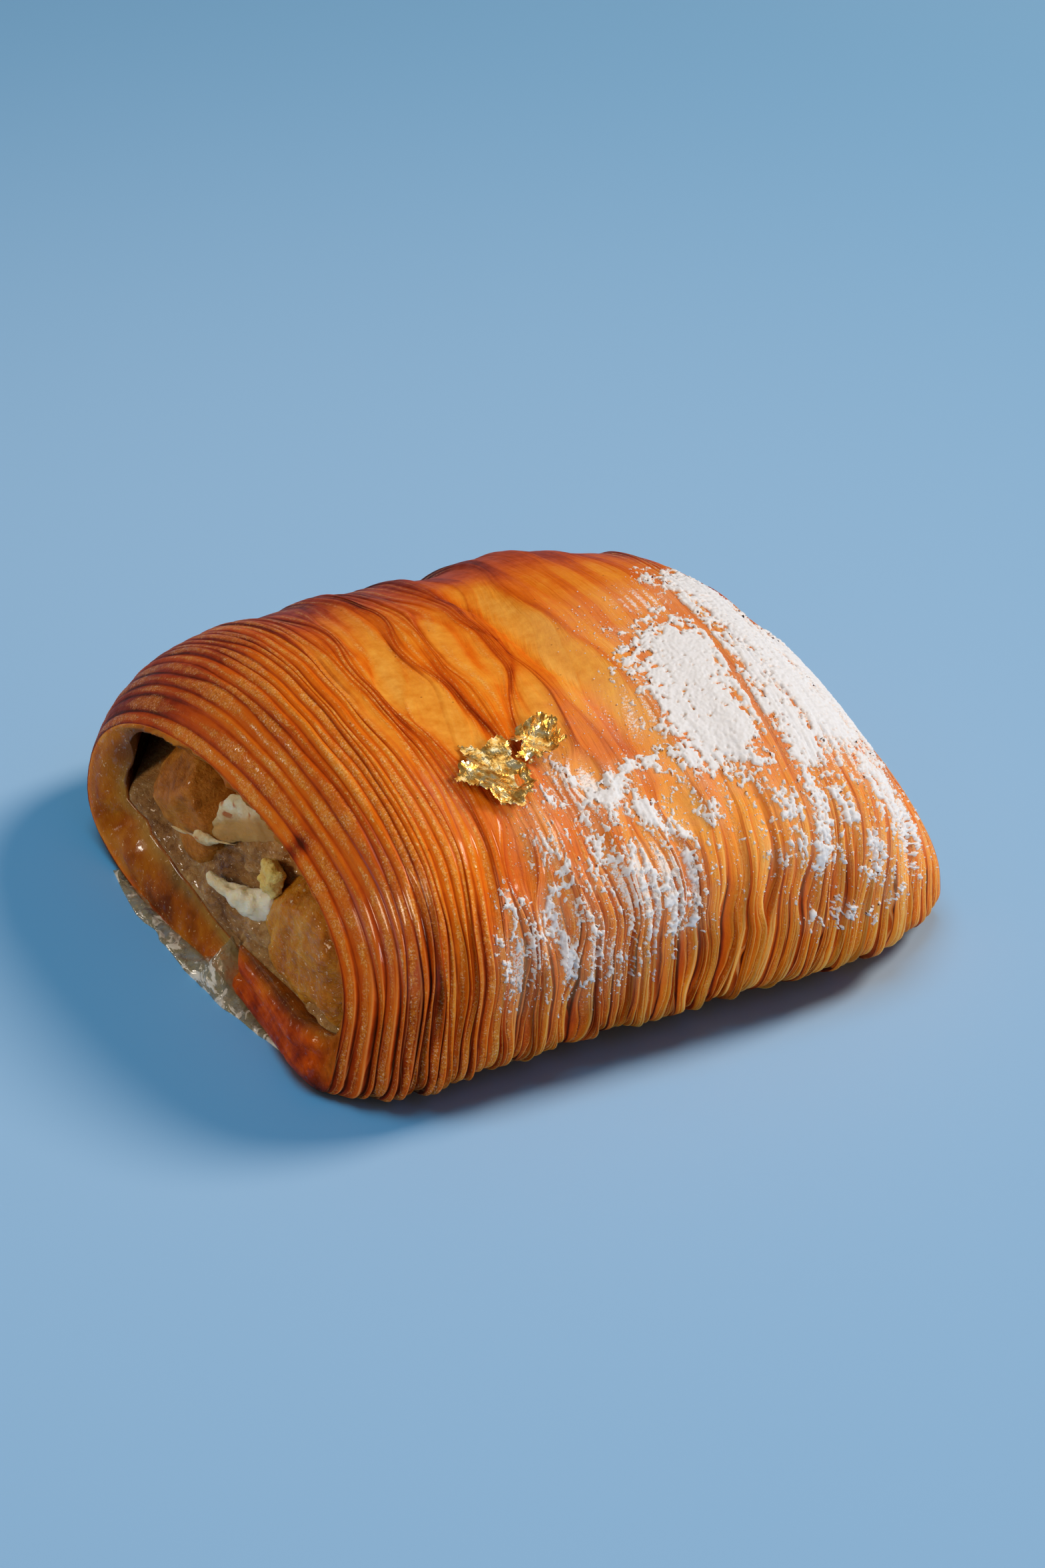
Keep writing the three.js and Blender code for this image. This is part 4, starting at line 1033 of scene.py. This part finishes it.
def makeFilling():
    count = len(rowAngles)
    rings, depths = faceRings(1)
    leftRings, leftDepths = faceRings(-1)
    between = [boreRing(t, pasteFace["shrink"]) for t in pasteFace["stations"]]
    rings = rings[::-1] + between + leftRings
    depths = depths[::-1] + [np.zeros(count)] * len(between) + leftDepths + [np.zeros(2)]
    points = np.concatenate([*rings, [rings[0].mean(axis=0)], [rings[-1].mean(axis=0)]])
    around = np.arange(count)
    after = (around + 1) % count
    last = (len(rings) - 1) * count
    tips = np.full(count, len(rings) * count)
    ends = [np.stack([tips, around, after], 1), np.stack([tips + 1, last + after, last + around], 1)]
    faces = np.concatenate([halved(gridFaces(len(rings), count, False, True)), *ends])
    piece = makeMesh("fruitFilling", points, faces, fruitMaterials["paste"])
    addNumbers(piece, "deep", smooth(3, 7, np.concatenate(depths)))
    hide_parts("filling")
    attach(piece, "root")


makeFilling()
print("filling made")


# The crust's surface at any place, for what lies on it
def crustAt(alongs, arcsWanted):
    grids = {"point": crustPoints, "normal": outward, "profile": profile, "depth": depthGrid}
    found = {word: [] for word in grids}
    columns = np.arange(len(columnNumbers))
    for rowAt in np.interp(arcsWanted, arcs, np.arange(len(arcs))):
        row = min(int(rowAt), len(arcs) - 2)
        share = rowAt - row
        line = places[:, row] * (1 - share) + places[:, row + 1] * share
        column = np.interp(alongs, line, columns)
        low = np.minimum(column.astype(int), len(columns) - 2)
        part = column - low
        for word, grid in grids.items():
            values = grid[:, row] * (1 - share) + grid[:, row + 1] * share
            bit = part[:, None] if values.ndim == 2 else part
            found[word].append(values[low] * (1 - bit) + values[low + 1] * bit)
    return {word: np.stack(values, 1) for word, values in found.items()}


def keepFaces(faces, kept, points):  # drops unused points too, and says which were used
    used, faces = np.unique(faces[kept], return_inverse=True)
    return faces.reshape(-1, 4), points[used], used


# Icing sugar, as a raised ragged crust of powder
# the shade colour is painted shade for the powder's pores
sugarCoat = {"along": (-34, 53.5), "arc": (-6, 82), "step": 0.2, "thick": 0.3, "seed": 71,
             "deep": (222, 225, 232), "thin": (226, 204, 188), "shade": (208, 209, 214)}


def sugarMaterial():
    graph = Graph("icingSugar")
    place = graph.place()
    powder = graph.noise(place, 2.6, 5, 0.75)
    shade = graph.mix(graph.attribute("thin"), sugarCoat["deep"], sugarCoat["thin"])
    # painted shade: grey specks in the powder's pores
    shade = graph.mix(powder.above(0.5, 0.72) * 0.3, shade, sugarCoat["shade"])
    coarse = graph.bump(graph.noise(place, 0.9, 4, 0.7), 0.18, 0.0004)
    grain = graph.bump(powder, 0.4, 0.0002, coarse)
    return graph.finish(shade, 0.9, grain, 0.0, Subsurface_Weight=0.3, Subsurface_Radius=(1.0, 0.9, 0.8),
                        Subsurface_Scale=0.0006, Specular_IOR_Level=0.2)


def sugarMask(along, arc, crest):  # above 0 where powder lies
    seed = sugarCoat["seed"]
    ragged = 0.55 * field(along * 0.42, arc * 0.3, seed=seed, octaves=3, rough=0.6)
    fine = field(along * 1.3, arc, seed=seed + 3, octaves=3, rough=0.7)
    pores = 1.4 * smooth(0.45, 0.8, field(along * 1.7, arc * 1.5, seed=seed + 7, octaves=2))
    granular = 0.8 * field(along * 2.9, arc * 2.3, seed=seed + 5, octaves=2, rough=0.7) * smooth(36, 24, arc)
    amount = strokeAmount(along, arc)
    coat = amount - 0.1 + ragged + (fine - pores) * (1 - 0.4 * smooth(0.35, 0.9, amount)) + granular
    coat = coat + 0.45 * (crest - 0.6) * (0.3 + 0.7 * smooth(28, 14, arc))
    across, length = creaseShape(sugarCrease, along, arc)
    coat = coat - 1.7 * hill(across) * length - 2 * smooth(49.5, 53, along)
    haze = hazeAmount(along, arc) * smooth(32, 22, arc)
    onCrests = 1.2 * haze + 0.9 * (crest - 0.9) + 0.5 * ragged + 0.9 * fine + granular - 0.9
    return np.maximum(coat, onCrests - 3 * smooth(0.16, 0, haze))


def makeSugar():
    u = np.arange(*sugarCoat["along"], sugarCoat["step"])
    v = np.arange(*sugarCoat["arc"], sugarCoat["step"])
    skin = crustAt(u, v)
    along, arc = np.meshgrid(u, v, indexing="ij")
    mask = sugarMask(along, arc, skin["profile"])
    seed = sugarCoat["seed"] + 9
    clumps = 0.5 + 0.5 * field(along * 1.2, arc * 1.2, seed=seed, octaves=3, rough=0.7)
    grains = field(along * 3.1, arc * 3.1, seed=seed + 5)
    height = sugarCoat["thick"] * smooth(0, 0.6, mask) * (0.76 + 0.36 * clumps)
    height = height + 0.08 * grains * smooth(0, 0.15, mask)
    height = np.where(mask > 0, height + 0.06, -0.1 + 0.6 * np.maximum(mask, -0.35))
    height = height + skin["depth"] * (1 - skin["profile"]) * 0.6 * smooth(0.1, 0.6, mask)
    points = skin["point"] + skin["normal"] * height[..., None]
    faces = gridFaces(len(u), len(v))
    flat = mask.reshape(-1)
    kept = (flat[faces] > 0).any(axis=1) & (flat[faces] > -1).all(axis=1)
    faces, points, used = keepFaces(faces, kept, points.reshape(-1, 3))
    piece = makeMesh("icingSugar", points, faces, sugarMaterial())
    addNumbers(piece, "thin", smooth(0.35, 0.0, flat[used]))
    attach(piece, "root")
    print("sugar coat:", len(faces), "faces")
    return piece, skin, mask, along, arc


sugar, skin, sugarHere, sugarAlong, sugarArc = makeSugar()
looseGrains = {"count": 7500, "least": 0.035, "most": 0.14, "seed": 77}


def makeGrains():  # loose grains round the patches
    draw = np.random.RandomState(looseGrains["seed"])
    near = smooth(-1.1, -0.1, sugarHere) * (sugarHere < 0.1)
    haze = hazeAmount(sugarAlong, sugarArc)
    chance = (near * 0.5 + haze ** 2) * (0.3 + skin["profile"]) + 0.00008
    chance = (chance / chance.sum()).reshape(-1)
    count = looseGrains["count"]
    chosen = draw.choice(len(chance), count, p=chance)
    shape, faces = ballOf(1)
    least, most = looseGrains["least"], looseGrains["most"]
    radii = least + (most - least) * draw.uniform(0, 1, count) ** 2.5
    normals = skin["normal"].reshape(-1, 3)[chosen]
    middles = skin["point"].reshape(-1, 3)[chosen] + draw.uniform(-0.12, 0.12, (count, 3))
    middles = middles + normals * (radii * 0.5)[:, None]
    stretch = draw.uniform(0.6, 1.3, (count, 1, 3))
    points = middles[:, None] + shape[None] * stretch * radii[:, None, None]
    points = points + draw.uniform(-0.15, 0.15, points.shape) * radii[:, None, None]
    faces = (faces[None] + (np.arange(count) * len(shape))[:, None, None]).reshape(-1, 3)
    piece = makeMesh("sugarGrains", points, faces, sugar.data.materials[0])
    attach(piece, "root")


makeGrains()
print("grains scattered")


# Gold leaf: crumpled scraps
scraps = [
    {"name": "goldLeafLarge", "node": "gold_leaf_large", "along": -19.3, "arc": 35.4, "half": (7.2, 7.8),
     "turn": 0.4, "crumple": 1.25, "seed": 21},
    {"name": "goldLeafSmall", "node": "gold_leaf_small", "along": -10, "arc": 38.8, "half": (5.6, 4.2),
     "turn": 0.1, "crumple": 1.25, "seed": 23},
    {"name": "goldLeafShred", "node": "gold_leaf_shred", "along": -12.3, "arc": 36.4, "half": (1.9, 0.8),
     "turn": 0.9, "crumple": 0.5, "seed": 25},
]
leaf = {"step": 0.34, "uneven": 0.09, "thick": 0.05, "metallic": 0.85,
        "glareAndFoldShade": [(0.36, (255, 240, 192)), (0.5, (255, 206, 112)), (0.64, (200, 132, 44))]}


def goldMaterial():
    graph = Graph("goldLeaf")
    place = graph.place()
    # painted light: the pale stops paint highlights and the dark stop paints shade in the folds; the same
    # noise sets the roughness
    glareAndFoldShade = graph.noise(place, 0.9, 3, 0.5)
    crinkle = graph.bump(graph.noise(place, 0.8, 2, 0.5, 1.5), 0.3, 0.0003)
    shade = graph.ramp(glareAndFoldShade, leaf["glareAndFoldShade"])
    return graph.finish(shade, 0.05 + glareAndFoldShade * 0.38, crinkle, Metallic=leaf["metallic"])


def crumpled(p, q, size, draw):  # flat facets between random heights
    count = 14
    heights = draw.uniform(-1, 1, (count, count))
    x, y = p / size + count / 2, q / size + count / 2
    i, j = np.floor(x).astype(int) % (count - 1), np.floor(y).astype(int) % (count - 1)
    fx, fy = x - np.floor(x), y - np.floor(y)
    near = heights[i, j] + fx * (heights[i + 1, j] - heights[i, j]) + fy * (heights[i, j + 1] - heights[i, j])
    far = heights[i + 1, j + 1] + (1 - fx) * (heights[i, j + 1] - heights[i + 1, j + 1])
    far = far + (1 - fy) * (heights[i + 1, j] - heights[i + 1, j + 1])
    return np.where(fx + fy < 1, near, far)


def makeScrap(settings, material):
    seed = settings["seed"]
    draw = np.random.RandomState(seed)
    a, b = settings["half"]
    step = leaf["step"]
    p, q = np.meshgrid(np.arange(-a, a + step, step), np.arange(-b, b + step, step), indexing="ij")
    p = p + draw.uniform(-leaf["uneven"], leaf["uneven"], p.shape)
    q = q + draw.uniform(-leaf["uneven"], leaf["uneven"], q.shape)
    way = np.arctan2(q / b, p / a)
    outline = 0.84 + 0.28 * field(np.cos(way) * 1.9, np.sin(way) * 1.9, seed=seed, octaves=3, rough=0.7)
    reach = np.hypot(p / a, q / b)
    height = crumpled(p, q, a / 1.6, draw) + 0.34 * crumpled(q, p, a / 3.2, draw)
    height = height + 0.03 * crumpled(p, q, a / 8, draw)
    curl = smooth(0.5, 1, reach / outline) * (0.6 + 0.6 * field(way * 1.3, 0, seed=seed + 1))
    height = settings["crumple"] * (0.75 * height + curl)
    drawIn = 1 - 0.1 * crumpled(q, p, a / 4, draw)
    across, up = turned(p, q, settings["turn"])
    angle = angleAt(settings["arc"] + up * drawIn)
    t = 2 * (settings["along"] + across * drawIn) / roll["length"]
    lift = np.maximum(height - height.min() * 0.55 + 0.3, 0.05)
    top = outerPoints(t, angle) + outwardFrom(t, angle) * lift[..., None]
    faces = gridFaces(*p.shape)
    kept = ((reach - outline).reshape(-1)[faces] < 0).all(axis=1)
    faces, points, _ = keepFaces(faces, kept, top.reshape(-1, 3))
    faces = halved(faces)
    points = np.concatenate([points, points - np.array([0, 0, leaf["thick"]])])
    faces = np.concatenate([faces, faces[:, ::-1] + len(points) // 2])
    piece = makeMesh(settings["name"], points, faces, material, flat=True)
    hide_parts(settings["node"])
    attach(piece, "root")


gold = goldMaterial()
for settings in scraps:
    makeScrap(settings, gold)
print("gold leaf laid")


# Juice that has run out on to the floor: its edges as (x, y), and where it wells up to the mouth
juice = {
    "outer": [(-57.3, 25.2), (-57.6, 19), (-57.6, 12.4), (-56.2, 5), (-55.6, -1), (-54.6, -9), (-53.2, -16),
              (-50.6, -23), (-49.3, -28), (-47.2, -35)],
    "inner": [(-55, 24), (-54.2, 19), (-53, 12), (-52, 5), (-50.4, -1), (-47.6, -9), (-47.4, -16), (-47, -23),
              (-46.4, -28), (-45.6, -35)],
    "high": 0.9, "seed": 91, "well": {"along": -11, "half": 3.6, "inner": (-48.2, -8), "high": 5.6},
    "rows": 110, "columns": 26, "deep": (208, 190, 142), "thin": (142, 152, 124), "paintedHighlight": (250, 252, 248),
}


def juiceMaterial():
    graph = Graph("fruitJuice")
    place = graph.place()
    ripple = graph.bump(graph.noise(place, 0.34, 2, 0.5, 0.6), 0.55, 0.0026)
    clear = graph.noise(place, 0.5, 3, 0.6)
    # painted highlights: pale streaks mixed into the colour, more of them towards the puddle's edge, where
    # the juice is also made more opaque
    highlightNoise = graph.noise(graph.scaled(place, (1, 0.6, 1)), 0.62, 3, 0.5, 1.0)
    paintedHighlight = (highlightNoise + graph.attribute("outward") * 0.22).above(0.68, 0.76)
    shade = graph.mix(paintedHighlight * 0.8, graph.mix(clear, juice["deep"], juice["thin"]), juice["paintedHighlight"])
    alpha = 0.36 + clear.above(0.35, 0.65) * 0.26 + paintedHighlight * 0.4
    return graph.finish(shade, 0.06 + clear * 0.1, ripple, 1.0, Alpha=alpha, Coat_Roughness=0.03)


def makeJuice():
    count, wide = juice["rows"], juice["columns"]
    lengthwise, across = np.linspace(0, 1, count), np.linspace(0, 1, wide)
    stations = np.linspace(0, 1, len(juice["outer"]))
    inner, outer = [np.stack([np.interp(lengthwise, stations, values) for values in zip(*juice[word])], -1)
                    for word in ("inner", "outer")]
    wobble = 0.5 * field(lengthwise * 14, 0, seed=juice["seed"], octaves=3)
    outer[:, 0] = np.maximum(outer[:, 0] + wobble * (outer[:, 0] > -57), -57.7)
    well = juice["well"]
    welling = hill((inner[:, 1] - well["along"]) / well["half"])[:, None]
    inner += welling * (np.array(well["inner"]) - inner)
    flat = inner[:, None] + (outer - inner)[:, None] * across[None, :, None]
    dome = (1 - across[None, :] ** 3) * np.sin(np.pi * np.clip(lengthwise, 0.01, 0.99))[:, None] ** 0.35
    lumpy = field(flat[..., 0] * 0.5, flat[..., 1] * 0.5, seed=juice["seed"] + 4, octaves=3)
    height = juice["high"] * np.sqrt(np.maximum(dome, 0)) * (0.75 + 0.5 * lumpy) + 0.03
    height = height + well["high"] * welling * (1 - across[None, :] ** 2.2)
    top = np.concatenate([flat, height[..., None]], -1).reshape(-1, 3)
    bottom = top * np.array([1, 1, 0]) + np.array([0, 0, 0.005])
    faces = gridFaces(count, wide)
    index = np.arange(count * wide).reshape(count, wide)
    rim = np.concatenate([index[:, 0], index[-1, 1:], index[-2::-1, -1], index[0, -2:0:-1]])
    after = np.roll(rim, -1)
    sides = np.stack([rim, rim + len(top), after + len(top), after], 1)
    faces = np.concatenate([faces, faces[:, ::-1] + len(top), sides])
    piece = makeMesh("fruitJuice", np.concatenate([top, bottom]), faces, juiceMaterial())
    addNumbers(piece, "outward", np.tile(across, 2 * count))  # 0 at the crust, 1 at the puddle's edge
    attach(piece, "root")


makeJuice()
print("juice poured")
